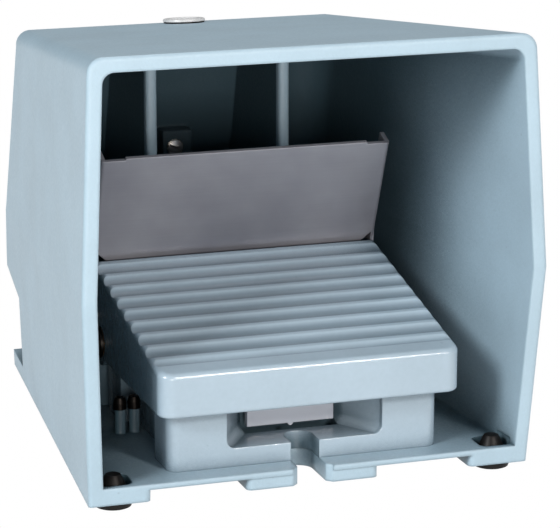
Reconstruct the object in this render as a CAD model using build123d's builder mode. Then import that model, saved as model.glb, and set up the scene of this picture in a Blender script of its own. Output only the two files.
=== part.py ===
from build123d import *
import math
import os

# Industrial foot switch with a cast guard hood, a ribbed pedal and a toe flap.
# Millimetres. X points right as seen from the open front, Y points to the back
# and Z points up. The origin is the centre of the outline on the ground.
# Every distance below is measured back from the front edge of the base, up
# from the underside of the base, or sideways from the middle plane.

os.makedirs("parts", exist_ok=True)

# Guard hood, seen from the side
roof_front_height = 148.4
roof_front_reach = 3.6
apex_height = 69.9
apex_reach = 7.0
roof_back_height = 131.0
roof_back_distance = 157.0
bulge_height = 60.0
bulge_distance = 175.5
ledge_outer_height = 38.0
ledge_inner_height = 32.5
recess_distance = 146.0
flange_height = 6.0
flange_distance = 170.0

# Guard hood, seen from the front
crease_half_width = 80.0
crease_back_half_width = 63.2
roof_half_width = 76.0
floor_half_width = 77.1
hood_wall = 5.0
roof_edge_radius = 5.5
roof_back_radius = 6.0
inner_roof_radius = 4.0
inner_corner_radius = 11.0
mouth_edge_radius = 1.2

# Base plate of the hood
base_thickness = 6.0
base_skin = 1.9
corner_pad_width = 16.2
corner_pad_depth = 20.0
centre_lug_half_width = 23.0
centre_lug_depth = 27.0
back_pad_depth = 22.0
front_slot_width = 10.0
front_slot_centre = 15.6
pad_end_radius = 2.0
fixing_hole_radius = 3.3
fixing_hole_offset = 30.0
fixing_hole_distance = 161.0

# Webs and earthing block on the back wall
web_offset = 24.8
web_middle = 0.4
web_front_radius = 1.4
web_thickness = 4.0
web_front_distance = 105.5
earth_block_width = 11.5
earth_block_offset = -0.8
earth_block_top = 90.1
earth_block_height = 22.0
earth_block_face = 154.0
earth_screw_height = 83.9
earth_screw_offset = -1.9
earth_washer_radius = 3.2
earth_washer_thickness = 0.6

# Rubber feet
foot_show = 2.6
foot_pad_radius = 6.2
foot_neck_radius = 3.2
foot_barb_radius = 4.7
foot_tip_radius = 2.4
foot_barb_height = 6.6
foot_floor = 2.0
foot_pocket_width = 11.4
front_foot_offset = 66.9
front_foot_distance = 7.6
back_foot_offset = 50.0
back_foot_distance = 159.0

# Two pairs of small screw posts beside the switch housing
post_offset_outer = 51.0
post_offset_inner = 46.0
post_distance = 56.4
post_radius = 1.9
post_height = 8.6
post_head_radius = 2.35
post_head_height = 4.2
post_shank_radius = 1.1
post_shank_length = 6.0

# Plug in the roof
plug_distance = 147.0
plug_head_radius = 7.8
plug_head_height = 1.1
plug_stem_radius = 4.0
plug_snap_radius = 4.4
plug_snap_height = 1.5
plug_ring_thickness = 0.6

# Switch housing
housing_front_distance = 8.5
housing_front_half_width = 47.5
housing_front_depth = 20.5
housing_front_height = 19.6
housing_half_width = 42.0
housing_corner_radius = 4.0
housing_edge_radius = 1.0
chamber_wall = 4.0
chamber_back_distance = 67.0
chamber_rim_height = 27.0
chamber_floor = 4.0
window_half_width = 27.4
window_throat_half_width = 16.6
window_throat_distance = 28.0
window_sill = 12.4
window_corner_radius = 3.0
tongue_well_floor = 7.4
tongue_well_margin = 1.2
tongue_well_back_margin = 3.4
rear_deck_top = 22.0
rear_deck_distance = 111.0
duct_half_width = 13.0
duct_top = 28.5
wire_passage_radius = 4.5

# Pedal
pedal_half_width = 52.5
pedal_back_distance = 83.5
pedal_lower_height = 27.1
pedal_front_top_height = 42.0
pedal_slope_share = 0.219
pedal_plate = 3.6
pedal_wall = 3.6
pedal_corner_radius = 5.0
pedal_edge_radius = 2.2
pedal_lower_radius = 1.2
pedal_back_wall_height = 43.5
rib_count = 9
rib_pitch = 8.72
rib_first_distance = 12.2
rib_height = 1.5
rib_crest_width = 1.5
front_flute_width = 4.6
front_flute_depth = 0.6
tongue_half_width = 15.4
tongue_distance = 24.0
tongue_thickness = 3.0
tongue_lower_height = 14.2
tongue_pip_radius = 0.9

# Pedal shaft and its bearings
pivot_distance = 76.0
pivot_height = 33.5
shaft_radius = 4.0
shaft_overhang = 3.4
running_clearance = 0.05
bush_wall = 1.4
bush_flange = 1.0
pivot_boss_radius = 8.4
lug_side_gap = 0.3
lug_thickness = 13.0
bush_clearance = 0.02
ring_groove_depth = 0.5
ring_thickness = 1.0
ring_outer_radius = 6.0
ring_opening_angle = 60.0

# Pedal return springs
spring_offset = 37.5
spring_distance = 19.5
spring_radius = 4.2
spring_wire_radius = 0.75
spring_turns = 5
spring_cup_radius = 5.8
spring_cup_floor = 12.0
spring_seat_radius = 5.6
spring_seat_height = 37.0
spring_pin_radius = 3.1
spring_pin_length = 4.0
spring_end_gap = 0.3

# Contact blocks, plungers and their adjusters
block_offset = 19.0
block_width = 20.0
block_depth = 28.0
block_height = 13.0
block_edge_radius = 1.0
rail_thickness = 1.5
rail_margin = 1.5
plunger_radius = 3.0
plunger_flange_radius = 4.2
plunger_flange_height = 1.6
plunger_top_height = 36.0
plunger_bore_radius = 4.5
plunger_spring_turns = 4
plunger_spring_wire_radius = 0.4
plunger_spring_radius = 3.4
adjuster_radius = 2.5
adjuster_gap = 0.3
adjuster_boss_radius = 5.0
adjuster_boss_depth = 5.0
adjuster_nut_width = 8.0
adjuster_nut_height = 3.0
terminal_spacing = 9.0
terminal_head_radius = 2.4
terminal_head_height = 1.4
terminal_shank_radius = 1.4
terminal_shank_length = 5.0
block_step_depth = 5.5
block_step_drop = 4.0

# Lid of the contact chamber
lid_thickness = 2.6
gasket_thickness = 1.0
gasket_width = 3.0
lid_screw_inset = 3.4
seal_thickness = 1.5
seal_outer_radius = 5.2
seal_gap = 0.3

# Small screws
screw_shank_radius = 1.5
screw_head_radius = 2.8
screw_head_height = 1.6
screw_length = 8.0
screw_slot_width = 0.8
screw_slot_depth = 0.7
screw_clearance = 0.05
screw_hole_clearance = 0.3

# Screws that hold the housing from below
housing_screw_radius = 2.0
housing_screw_head_radius = 4.0
housing_screw_length = 9.0
housing_screw_offset = 36.0
housing_screw_distances = (44.0, 96.0)

# Toe flap, a bent sheet that leans over the back of the pedal
flap_half_width = 52.5
flap_sheet = 1.5
flap_lower_distance = 85.6
flap_lower_height = 59.9
flap_upper_distance = 69.5
flap_upper_height = 99.3
flap_corner_cut = 5.0
flap_shoulder_width = 8.6
flap_shoulder_drop = 0.7
flap_flange_depth = 7.0
flap_bend_radius = 1.4
flap_gusset_length = 14.0
flap_axle_distance = 95.0
flap_axle_height = 38.0
flap_axle_radius = 2.5
flap_arm_radius = 6.0
flap_tail_start = 102.0
flap_tail_end = 108.0
flap_tail_half_inner = 40.0
ear_thickness = 5.0
ear_radius = 6.0
ear_gap = 0.4
flap_ring_radius = 4.4
flap_spring_offset = 45.0
flap_spring_turns = 4
flap_spring_wire_radius = 0.6
flap_spring_radius = 3.4

# Latch between the flap and the pedal
catch_half_width = 9.0
catch_sheet = 2.0
catch_height = 39.0
catch_leg_top = 53.0
catch_end_distance = 89.5
catch_screw_offset = 4.5
catch_screw_height = 48.2
latch_gap = 2.0
latch_overlap = 1.3
latch_half_width = 7.0
latch_sheet = 2.0
latch_weld_length = 11.0

# Cable gland in the recess at the back
gland_height = 18.0
gland_thread_radius = 7.9
gland_thread_clearance = 0.1
gland_thread_length = 13.0
gland_hex_width = 19.0
gland_hex_depth = 4.5
gland_washer_thickness = 1.2
gland_sleeve_radius = 7.6
gland_sleeve_length = 8.0
gland_cap_width = 19.0
gland_cap_depth = 11.0
gland_cap_dome = 3.0
gland_bore_radius = 6.2
gland_insert_radius = 6.1
cable_radius = 4.0

# Overrun of a cutting tool past a face
overrun = 1.0

# Places worked out from the sizes above
overall_depth = apex_reach + bulge_distance
front_edge_y = apex_reach - overall_depth / 2
underside_z = foot_show
housing_floor_top = base_thickness + chamber_floor
pedal_slope = math.degrees(math.atan(pedal_slope_share))
lid_base_height = chamber_rim_height + gasket_thickness
lid_top_height = lid_base_height + lid_thickness
chamber_front_distance = housing_front_distance + housing_front_depth
block_base_height = housing_floor_top + rail_thickness
block_top_height = block_base_height + block_height
block_distance = (chamber_front_distance + chamber_back_distance) / 2
lug_outer = pedal_half_width - pedal_wall - bush_flange - lug_side_gap
arm_inner = flap_half_width - flap_sheet
ear_outer = arm_inner - ear_gap
flap_lean = math.atan2(flap_lower_distance - flap_upper_distance, flap_upper_height - flap_lower_height)
flap_length = math.hypot(flap_lower_distance - flap_upper_distance, flap_upper_height - flap_lower_height)
roof_drop_share = (roof_front_height - roof_back_height) / (roof_back_distance + roof_front_reach)
wall_lean_share = (bulge_distance - roof_back_distance) / (roof_back_height - bulge_height)
recess_inner_distance = recess_distance - hood_wall


def side_plane(x=0):
    """Plane seen from the right: local x runs back, local y runs up."""
    return Plane(origin=(x, front_edge_y, underside_z), x_dir=(0, 1, 0), z_dir=(1, 0, 0))


def level_plane(height):
    """Plane seen from above: local x runs right, local y runs back."""
    return Plane(origin=(0, front_edge_y, underside_z + height), x_dir=(1, 0, 0), z_dir=(0, 0, 1))


def facing_plane(distance):
    """Plane seen from the front: local x runs right, local y runs up."""
    return Plane(origin=(0, front_edge_y + distance, underside_z), x_dir=(1, 0, 0), z_dir=(0, -1, 0))


def place(x, distance, height):
    """Point in the part's own frame."""
    return Vector(x, front_edge_y + distance, underside_z + height)


def pedal_top(distance):
    """Height of the pedal's upper face above the base's underside."""
    return pedal_front_top_height + pedal_slope_share * distance


def back_wall(height):
    """Distance of the hood's outer back wall at a height above the bulge."""
    return bulge_distance - wall_lean_share * (height - bulge_height)


def roof_top(distance):
    """Height of the hood's roof at a distance from the front edge."""
    return roof_front_height - roof_drop_share * (distance + roof_front_reach)


# Guard hood: a side profile run across, then drafted from a crease at mid height
def wall_planes(inset):
    """Four planes of the drafted side walls, moved inwards by inset."""
    planes = []
    for side in (-1, 1):
        front = place(side * (crease_half_width - inset), -apex_reach, apex_height)
        back = place(side * (crease_back_half_width - inset), bulge_distance, bulge_height)
        roof = place(side * (roof_half_width - inset), -roof_front_reach, roof_front_height)
        floor = place(side * (floor_half_width - inset), 0, 0)
        for corner in (roof, floor):
            normal = (back - front).cross(corner - front).normalized()
            if normal.X * side < 0:
                normal = normal * -1
            planes.append(Plane(origin=front, z_dir=normal))
    return planes


def drafted_block(points, inset):
    """Side profile run across the hood and cut by the drafted side walls."""
    with BuildPart() as block:
        with BuildSketch(side_plane()):
            with BuildLine():
                Polyline(*points, close=True)
            make_face()
        extrude(amount=crease_half_width + overrun, both=True)
        for plane in wall_planes(inset):
            split(bisect_by=plane, keep=Keep.BOTTOM)
    return block


def long_upper_edges(solid, lower_height, minimum_length):
    """Edges along the roof at both sides, higher than lower_height."""
    chosen = ShapeList()
    for edge in solid.edges():
        middle = edge.center()
        if middle.Z > underside_z + lower_height and edge.length > minimum_length:
            if abs(edge.tangent_at(0).Y) > abs(edge.tangent_at(0).X):
                if abs(edge.tangent_at(0).Y) > abs(edge.tangent_at(0).Z):
                    chosen.append(edge)
    return chosen


outer_points = (
    (-roof_front_reach, roof_front_height),
    (-apex_reach, apex_height),
    (0, 0),
    (flange_distance, 0),
    (flange_distance, flange_height),
    (recess_distance, flange_height),
    (recess_distance, ledge_inner_height),
    (bulge_distance, ledge_outer_height),
    (bulge_distance, bulge_height),
    (roof_back_distance, roof_back_height),
)
mouth_start = -apex_reach - 2 * overrun
cavity_roof_front = roof_front_height - hood_wall + roof_drop_share * (-mouth_start - roof_front_reach)
cavity_roof_back = roof_back_height - hood_wall
inner_points = (
    (mouth_start, cavity_roof_front),
    (mouth_start, base_thickness),
    (recess_inner_distance, base_thickness),
    (recess_inner_distance, ledge_inner_height + hood_wall),
    (bulge_distance - hood_wall, ledge_outer_height + hood_wall),
    (bulge_distance - hood_wall, bulge_height),
    (roof_back_distance - hood_wall, cavity_roof_back),
)
outer_block = drafted_block(outer_points, 0)
cavity_block = drafted_block(inner_points, hood_wall)

with BuildPart() as rounded_outer:
    add(outer_block.part)
    roof_edges = long_upper_edges(rounded_outer, roof_back_height - hood_wall, hood_wall)
    fillet(roof_edges, roof_edge_radius)
    back_edges = [
        edge
        for edge in rounded_outer.edges().filter_by(Axis.X)
        if edge.center().Z > underside_z + bulge_height + overrun and edge.center().Y > 0
    ]
    fillet(back_edges, roof_back_radius)

with BuildPart() as rounded_cavity:
    add(cavity_block.part)
    upright_back = [
        edge
        for edge in rounded_cavity.edges()
        if edge.center().Y > 0
        and abs(edge.tangent_at(0).Z) > abs(edge.tangent_at(0).Y)
        and edge.center().Z > underside_z + apex_height
    ]
    fillet(upright_back, inner_corner_radius)
    fillet(long_upper_edges(rounded_cavity, cavity_roof_back - hood_wall, hood_wall), inner_roof_radius)


roof_plane = Plane(
    origin=place(0, plug_distance, roof_top(plug_distance)),
    x_dir=(1, 0, 0),
    z_dir=(0, roof_drop_share, 1),
)


def foot_places():
    """Left and right places of the four feet: sideways, back."""
    return [
        (side * offset, distance)
        for offset, distance in (
            (front_foot_offset, front_foot_distance),
            (back_foot_offset, back_foot_distance),
        )
        for side in (-1, 1)
    ]


def post_places():
    """Places of the small screw posts on the floor."""
    return [
        (side * offset, post_distance)
        for side in (-1, 1)
        for offset in (post_offset_outer, post_offset_inner)
    ]


def housing_screw_places():
    """Places of the screws that hold the housing down."""
    return [(side * housing_screw_offset, distance) for side in (-1, 1) for distance in housing_screw_distances]


with BuildPart() as hood:
    add(rounded_outer.part)
    add(rounded_cavity.part, mode=Mode.SUBTRACT)
    # Outer edges of the mouth
    mouth_edges = [
        edge
        for edge in hood.edges()
        if edge.center().Y < place(0, 0, 0).Y
        and (
            edge.center().Z > underside_z + roof_front_height - hood_wall / 2
            or (
                abs(edge.tangent_at(0).Z) > abs(edge.tangent_at(0).X)
                and abs(edge.center().X) > crease_half_width - hood_wall
            )
        )
    ]
    fillet(mouth_edges, mouth_edge_radius)
    # Underside relieved to a thin skin, with pads and lugs left full depth
    with BuildSketch(level_plane(-overrun)):
        relief_half = floor_half_width - hood_wall - corner_pad_width
        relief_side = crease_back_half_width - 2 * hood_wall
        with BuildLine():
            Polyline(
                (-relief_half, -apex_reach),
                (relief_half, -apex_reach),
                (relief_half, corner_pad_depth),
                (floor_half_width - hood_wall, corner_pad_depth),
                (relief_side, flange_distance - back_pad_depth),
                (-relief_side, flange_distance - back_pad_depth),
                (-floor_half_width + hood_wall, corner_pad_depth),
                (-relief_half, corner_pad_depth),
                close=True,
            )
        make_face()
        with Locations((0, centre_lug_depth / 2)):
            Rectangle(2 * centre_lug_half_width, centre_lug_depth, mode=Mode.SUBTRACT)
        with Locations(*housing_screw_places()):
            Circle(housing_screw_head_radius + hood_wall / 2, mode=Mode.SUBTRACT)
    extrude(amount=base_thickness - base_skin + overrun, mode=Mode.SUBTRACT)
    # Open slot at the middle of the front edge
    with BuildSketch(level_plane(-overrun)):
        with Locations((0, front_slot_centre)):
            Circle(front_slot_width / 2)
        with Locations((0, front_slot_centre / 2 - overrun)):
            Rectangle(front_slot_width, front_slot_centre + 2 * overrun)
        with BuildLine():
            Polyline(
                (-front_slot_width / 2 - pad_end_radius, -overrun),
                (front_slot_width / 2 + pad_end_radius, -overrun),
                (front_slot_width / 2 + pad_end_radius, 0),
                (front_slot_width / 2, pad_end_radius),
                (-front_slot_width / 2, pad_end_radius),
                (-front_slot_width / 2 - pad_end_radius, 0),
                close=True,
            )
        make_face()
    extrude(amount=base_thickness + 2 * overrun, mode=Mode.SUBTRACT)
    front_uprights = [
        edge
        for edge in hood.edges()
        if edge.center().Y < place(0, base_thickness, 0).Y
        and abs(edge.tangent_at(0).Z) > abs(edge.tangent_at(0).Y) + abs(edge.tangent_at(0).X)
        and edge.center().Z < underside_z + base_thickness
        and front_slot_width < abs(edge.center().X) < floor_half_width - hood_wall
    ]
    fillet(front_uprights, pad_end_radius)
    # Pockets and holes for the push-in feet
    with BuildSketch(level_plane(foot_floor)):
        with Locations(*foot_places()):
            RectangleRounded(foot_pocket_width, foot_pocket_width, foot_pocket_width / 4)
    extrude(amount=base_thickness, mode=Mode.SUBTRACT)
    with BuildSketch(level_plane(-overrun)):
        with Locations(*foot_places()):
            Circle(foot_neck_radius + screw_clearance)
        with Locations((-fixing_hole_offset, fixing_hole_distance), (fixing_hole_offset, fixing_hole_distance)):
            Circle(fixing_hole_radius)
    extrude(amount=base_thickness + 2 * overrun, mode=Mode.SUBTRACT)
    # Countersunk holes for the housing's screws
    for x, distance in housing_screw_places():
        with Locations(place(x, distance, 0)):
            Cone(
                housing_screw_head_radius + screw_clearance,
                housing_screw_radius + screw_clearance,
                housing_screw_head_radius - housing_screw_radius,
                align=(Align.CENTER, Align.CENTER, Align.MIN),
                mode=Mode.SUBTRACT,
            )
            Cylinder(
                housing_screw_radius + screw_clearance,
                base_thickness + overrun,
                align=(Align.CENTER, Align.CENTER, Align.MIN),
                mode=Mode.SUBTRACT,
            )
    # Two upright webs on the back wall
    for side in (-1, 1):
        with BuildSketch(side_plane(web_middle + side * web_offset - web_thickness / 2)):
            with BuildLine():
                Polyline(
                    (web_front_distance, roof_front_height - hood_wall - roof_drop_share * web_front_distance),
                    (web_front_distance, bulge_height),
                    (recess_inner_distance, ledge_inner_height + hood_wall),
                    (bulge_distance - hood_wall / 2, ledge_outer_height + hood_wall / 2),
                    (bulge_distance - hood_wall / 2, bulge_height),
                    (roof_back_distance - hood_wall, roof_back_height - hood_wall / 2),
                    close=True,
                )
            make_face()
        extrude(amount=web_thickness)
    web_edges = [
        edge
        for edge in hood.edges()
        if abs(edge.center().Y - place(0, web_front_distance, 0).Y) < screw_clearance
        and abs(edge.tangent_at(0).Z) > abs(edge.tangent_at(0).Y) + abs(edge.tangent_at(0).X)
    ]
    fillet(web_edges, web_front_radius)
    # Block for the earthing screw
    with BuildSketch(side_plane(earth_block_offset - earth_block_width / 2)):
        earth_block_base = earth_block_top - earth_block_height
        with BuildLine():
            Polyline(
                (earth_block_face, earth_block_top),
                (back_wall(earth_block_top) - hood_wall / 2, earth_block_top),
                (back_wall(earth_block_base) - hood_wall / 2, earth_block_base),
                (earth_block_face, earth_block_base),
                close=True,
            )
        make_face()
    extrude(amount=earth_block_width)
    with BuildSketch(facing_plane(earth_block_face)):
        with Locations((earth_screw_offset, earth_screw_height)):
            Circle(screw_shank_radius + screw_clearance)
    extrude(amount=-screw_length, mode=Mode.SUBTRACT)
    # Screw posts on the floor
    with BuildSketch(level_plane(base_thickness)):
        with Locations(*post_places()):
            Circle(post_radius)
    extrude(amount=post_height)
    with BuildSketch(level_plane(base_thickness + post_height)):
        with Locations(*post_places()):
            Circle(post_shank_radius + screw_clearance)
    extrude(amount=-post_shank_length - overrun, mode=Mode.SUBTRACT)
    # Round hole for the roof plug and for the cable gland
    with BuildSketch(roof_plane):
        Circle(plug_stem_radius + screw_clearance)
    extrude(amount=-hood_wall - inner_roof_radius, mode=Mode.SUBTRACT)
    with BuildSketch(facing_plane(recess_distance + overrun)):
        with Locations((0, gland_height)):
            Circle(gland_thread_radius + gland_thread_clearance)
    extrude(amount=hood_wall + 2 * overrun, mode=Mode.SUBTRACT)
hood.part.label = "hood"
export_step(hood.part, "parts/hood.step")


# Small headed and turned pieces
def slotted_screw(seat, direction, head_radius, head_height, shank_radius, shank_length):
    """Cheese-head screw; seat is the middle of the head's underside."""
    seat_plane = Plane(origin=seat, z_dir=direction)
    with BuildPart() as screw:
        with BuildSketch(seat_plane):
            Circle(head_radius)
        extrude(amount=head_height)
        with BuildSketch(seat_plane):
            Circle(shank_radius)
        extrude(amount=-shank_length)
        with BuildSketch(seat_plane.offset(head_height)):
            Rectangle(2 * head_radius + overrun, screw_slot_width)
        extrude(amount=-screw_slot_depth, mode=Mode.SUBTRACT)
    return screw.part


def coil_spring(centre, radius, wire_radius, height, turns):
    """Round-wire compression spring standing on centre, with its own height."""
    with BuildPart() as spring:
        with BuildLine() as path:
            Helix(pitch=(height - 2 * wire_radius) / turns, height=height - 2 * wire_radius, radius=radius)
        with BuildSketch(Plane(origin=path.line @ 0, z_dir=path.line % 0)):
            Circle(wire_radius)
        sweep(is_frenet=True)
    return spring.part.moved(Location(centre + Vector(0, 0, wire_radius)))


def turned(axis_plane, profile):
    """Piece turned about the plane's own upright axis from radius and height."""
    with BuildPart() as piece:
        with BuildSketch(axis_plane):
            with BuildLine():
                Polyline(*profile, close=True)
            make_face()
        revolve(axis=Axis(axis_plane.origin, axis_plane.y_dir))
    return piece.part


def upright_plane(point):
    """Plane through point whose local y runs up."""
    return Plane(origin=point, x_dir=(1, 0, 0), z_dir=(0, -1, 0))


# Rubber feet: a pad below, a neck through the base and a barb above
foot_profile = (
    (0, -foot_show),
    (foot_pad_radius, -foot_show),
    (foot_pad_radius, 0),
    (foot_neck_radius, 0),
    (foot_neck_radius, foot_floor),
    (foot_barb_radius, foot_floor),
    (foot_barb_radius, foot_floor + foot_barb_height / 4),
    (foot_tip_radius, foot_floor + foot_barb_height),
    (0, foot_floor + foot_barb_height),
)
with BuildPart() as rubber_feet:
    for x, distance in foot_places():
        add(turned(upright_plane(place(x, distance, 0)), foot_profile))
rubber_feet.part.label = "rubber_feet"
export_step(rubber_feet.part, "parts/rubber_feet.step")

# Plug in the roof with its sealing ring
plug_grip = hood_wall * (1 + roof_drop_share) + screw_clearance
plug_profile = (
    (0, plug_ring_thickness + plug_head_height),
    (plug_head_radius - plug_head_height / 2, plug_ring_thickness + plug_head_height),
    (plug_head_radius, plug_ring_thickness + plug_head_height / 2),
    (plug_head_radius, plug_ring_thickness),
    (plug_stem_radius, plug_ring_thickness),
    (plug_stem_radius, -plug_grip),
    (plug_snap_radius, -plug_grip),
    (plug_stem_radius - screw_clearance, -plug_grip - plug_snap_height),
    (0, -plug_grip - plug_snap_height),
)
roof_plug_plane = Plane(origin=roof_plane.origin, x_dir=(1, 0, 0), z_dir=-roof_plane.y_dir)
with BuildPart() as roof_plug:
    add(turned(roof_plug_plane, plug_profile))
roof_plug.part.label = "roof_plug"
export_step(roof_plug.part, "parts/roof_plug.step")

with BuildPart() as roof_plug_ring:
    with BuildSketch(roof_plane):
        Circle(plug_head_radius - plug_head_height / 4)
        Circle(plug_stem_radius + screw_clearance, mode=Mode.SUBTRACT)
    extrude(amount=plug_ring_thickness)
roof_plug_ring.part.label = "roof_plug_ring"
export_step(roof_plug_ring.part, "parts/roof_plug_ring.step")

# Earthing screw and its washer on the back wall
earth_seat = place(earth_screw_offset, earth_block_face, earth_screw_height)
with BuildPart() as earth_washer:
    with BuildSketch(facing_plane(earth_block_face)):
        with Locations((earth_screw_offset, earth_screw_height)):
            Circle(earth_washer_radius)
            Circle(screw_shank_radius + screw_clearance, mode=Mode.SUBTRACT)
    extrude(amount=earth_washer_thickness)
earth_washer.part.label = "earth_washer"
export_step(earth_washer.part, "parts/earth_washer.step")

with BuildPart() as earth_screw:
    add(
        slotted_screw(
            earth_seat - Vector(0, earth_washer_thickness, 0),
            (0, -1, 0),
            screw_head_radius,
            screw_head_height,
            screw_shank_radius,
            screw_length,
        )
    )
earth_screw.part.label = "earth_screw"
export_step(earth_screw.part, "parts/earth_screw.step")

# Screws in the small posts beside the housing
with BuildPart() as post_screws:
    for x, distance in post_places():
        add(
            slotted_screw(
                place(x, distance, base_thickness + post_height),
                (0, 0, 1),
                post_head_radius,
                post_head_height,
                post_shank_radius,
                post_shank_length,
            )
        )
post_screws.part.label = "post_screws"
export_step(post_screws.part, "parts/post_screws.step")

# Switch housing: front bar with a window, contact chamber, lugs and duct
with BuildPart() as window_pocket:
    with BuildSketch(level_plane(window_sill)):
        with BuildLine():
            Polyline(
                (-window_half_width, housing_front_distance - overrun),
                (window_half_width, housing_front_distance - overrun),
                (window_half_width, housing_front_distance + hood_wall / 2),
                (window_throat_half_width, window_throat_distance),
                (-window_throat_half_width, window_throat_distance),
                (-window_half_width, housing_front_distance + hood_wall / 2),
                close=True,
            )
        make_face()
    extrude(amount=base_thickness + housing_front_height - window_sill + overrun)
    lower_edges = window_pocket.edges().group_by(Axis.Z)[0]
    side_edges = [edge for edge in lower_edges if abs(edge.tangent_at(0).Y) > abs(edge.tangent_at(0).X) / 2]
    fillet(side_edges, window_corner_radius)


def lid_corners():
    """Places of the four lid screws: sideways, back."""
    near = chamber_front_distance + lid_screw_inset
    far = chamber_back_distance - lid_screw_inset
    return [
        (side * (housing_half_width - lid_screw_inset), distance)
        for side in (-1, 1)
        for distance in (near, far)
    ]


spring_cup_places = ((-spring_offset, spring_distance), (spring_offset, spring_distance))
flap_spring_places = (
    (-flap_spring_offset, (flap_tail_start + flap_tail_end) / 2),
    (flap_spring_offset, (flap_tail_start + flap_tail_end) / 2),
)
rail_screw_places = (
    (0, block_distance - block_depth / 3),
    (0, block_distance + block_depth / 3),
)

with BuildPart() as housing:
    with BuildSketch(level_plane(base_thickness)):
        with Locations((0, housing_front_distance + housing_front_depth / 2)):
            RectangleRounded(2 * housing_front_half_width, housing_front_depth, housing_corner_radius)
    extrude(amount=housing_front_height)
    fillet(housing.faces().sort_by(Axis.Z)[-1].edges(), housing_edge_radius)
    with BuildSketch(level_plane(base_thickness)):
        with Locations((0, (chamber_front_distance + chamber_back_distance - housing_corner_radius) / 2)):
            Rectangle(
                2 * housing_half_width,
                chamber_back_distance - chamber_front_distance + housing_corner_radius,
            )
    extrude(amount=chamber_rim_height - base_thickness)
    # Rear deck, cross beam for the flap's ears and duct to the gland
    with BuildSketch(level_plane(base_thickness)):
        with Locations((0, (chamber_back_distance + rear_deck_distance) / 2)):
            Rectangle(2 * housing_half_width, rear_deck_distance - chamber_back_distance)
        beam_start = flap_axle_distance - ear_radius
        with Locations((0, (beam_start + rear_deck_distance) / 2)):
            Rectangle(2 * ear_outer, rear_deck_distance - beam_start)
    extrude(amount=rear_deck_top - base_thickness)
    with BuildSketch(level_plane(base_thickness)):
        with Locations((0, (chamber_back_distance + recess_inner_distance) / 2)):
            Rectangle(2 * duct_half_width, recess_inner_distance - chamber_back_distance)
    extrude(amount=duct_top - base_thickness)
    # Lugs for the pedal shaft, ears for the flap axle
    for side in (-1, 1):
        lug_middle = lug_outer - lug_thickness / 2
        with BuildSketch(side_plane(side * lug_middle - lug_thickness / 2)):
            with Locations((pivot_distance, pivot_height)):
                Circle(pivot_boss_radius)
            with Locations((pivot_distance, (pivot_height + base_thickness) / 2)):
                Rectangle(2 * pivot_boss_radius, pivot_height - base_thickness)
        extrude(amount=lug_thickness)
        with BuildSketch(side_plane(side * (ear_outer - ear_thickness / 2) - ear_thickness / 2)):
            with Locations((flap_axle_distance, flap_axle_height)):
                Circle(ear_radius)
            with Locations((flap_axle_distance, (flap_axle_height + base_thickness) / 2)):
                Rectangle(2 * ear_radius, flap_axle_height - base_thickness)
        extrude(amount=ear_thickness)
    # Window, tongue well and open slot
    add(window_pocket.part, mode=Mode.SUBTRACT)
    with BuildSketch(level_plane(tongue_well_floor)):
        well_start = tongue_distance - tongue_well_margin
        well_end = tongue_distance + tongue_thickness + tongue_well_back_margin
        with Locations((0, (well_start + well_end) / 2)):
            Rectangle(2 * (tongue_half_width + tongue_well_margin), well_end - well_start)
    extrude(amount=chamber_rim_height, mode=Mode.SUBTRACT)
    with BuildSketch(level_plane(base_thickness - overrun)):
        with Locations((0, front_slot_centre)):
            Circle(front_slot_width / 2)
        with Locations((0, front_slot_centre / 2)):
            Rectangle(front_slot_width, front_slot_centre)
    extrude(amount=window_sill - base_thickness + 2 * overrun, mode=Mode.SUBTRACT)
    # Contact chamber with a boss in each corner for the lid screws
    with BuildSketch(level_plane(housing_floor_top)):
        with Locations((0, block_distance)):
            Rectangle(
                2 * (housing_half_width - chamber_wall),
                chamber_back_distance - chamber_front_distance - 2 * chamber_wall,
            )
        with Locations(*lid_corners()):
            Circle(lid_screw_inset, mode=Mode.SUBTRACT)
    extrude(amount=chamber_rim_height, mode=Mode.SUBTRACT)
    # Cups for the pedal springs
    with BuildSketch(level_plane(spring_cup_floor)):
        with Locations(*spring_cup_places):
            Circle(spring_cup_radius)
    extrude(amount=chamber_rim_height, mode=Mode.SUBTRACT)
    # Bores for the shaft, the axle, the wires and the gland's thread
    with BuildSketch(side_plane(-pedal_half_width)):
        with Locations((pivot_distance, pivot_height)):
            Circle(shaft_radius + bush_clearance)
        with Locations((flap_axle_distance, flap_axle_height)):
            Circle(flap_axle_radius + bush_clearance)
    extrude(amount=2 * pedal_half_width, mode=Mode.SUBTRACT)
    with BuildSketch(facing_plane(recess_inner_distance)):
        with Locations((0, gland_height)):
            Circle(gland_thread_radius + gland_thread_clearance)
    extrude(amount=gland_thread_length - hood_wall, mode=Mode.SUBTRACT)
    with BuildSketch(facing_plane(recess_inner_distance)):
        with Locations((0, gland_height)):
            Circle(wire_passage_radius)
    extrude(
        amount=recess_inner_distance - chamber_back_distance + chamber_wall + overrun,
        mode=Mode.SUBTRACT,
    )
    # Screw holes: lid, rail and the screws from below
    with BuildSketch(level_plane(chamber_rim_height + overrun)):
        with Locations(*lid_corners()):
            Circle(screw_shank_radius + screw_clearance)
    extrude(amount=-screw_length - overrun, mode=Mode.SUBTRACT)
    with BuildSketch(level_plane(base_thickness)):
        with Locations(*rail_screw_places):
            Circle(screw_shank_radius + screw_clearance)
    extrude(amount=chamber_floor + overrun, mode=Mode.SUBTRACT)
    with BuildSketch(level_plane(base_thickness)):
        with Locations(*housing_screw_places()):
            Circle(housing_screw_radius + screw_clearance)
    extrude(amount=housing_screw_length - base_thickness + screw_hole_clearance, mode=Mode.SUBTRACT)
housing.part.label = "housing"
export_step(housing.part, "parts/housing.step")

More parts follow.
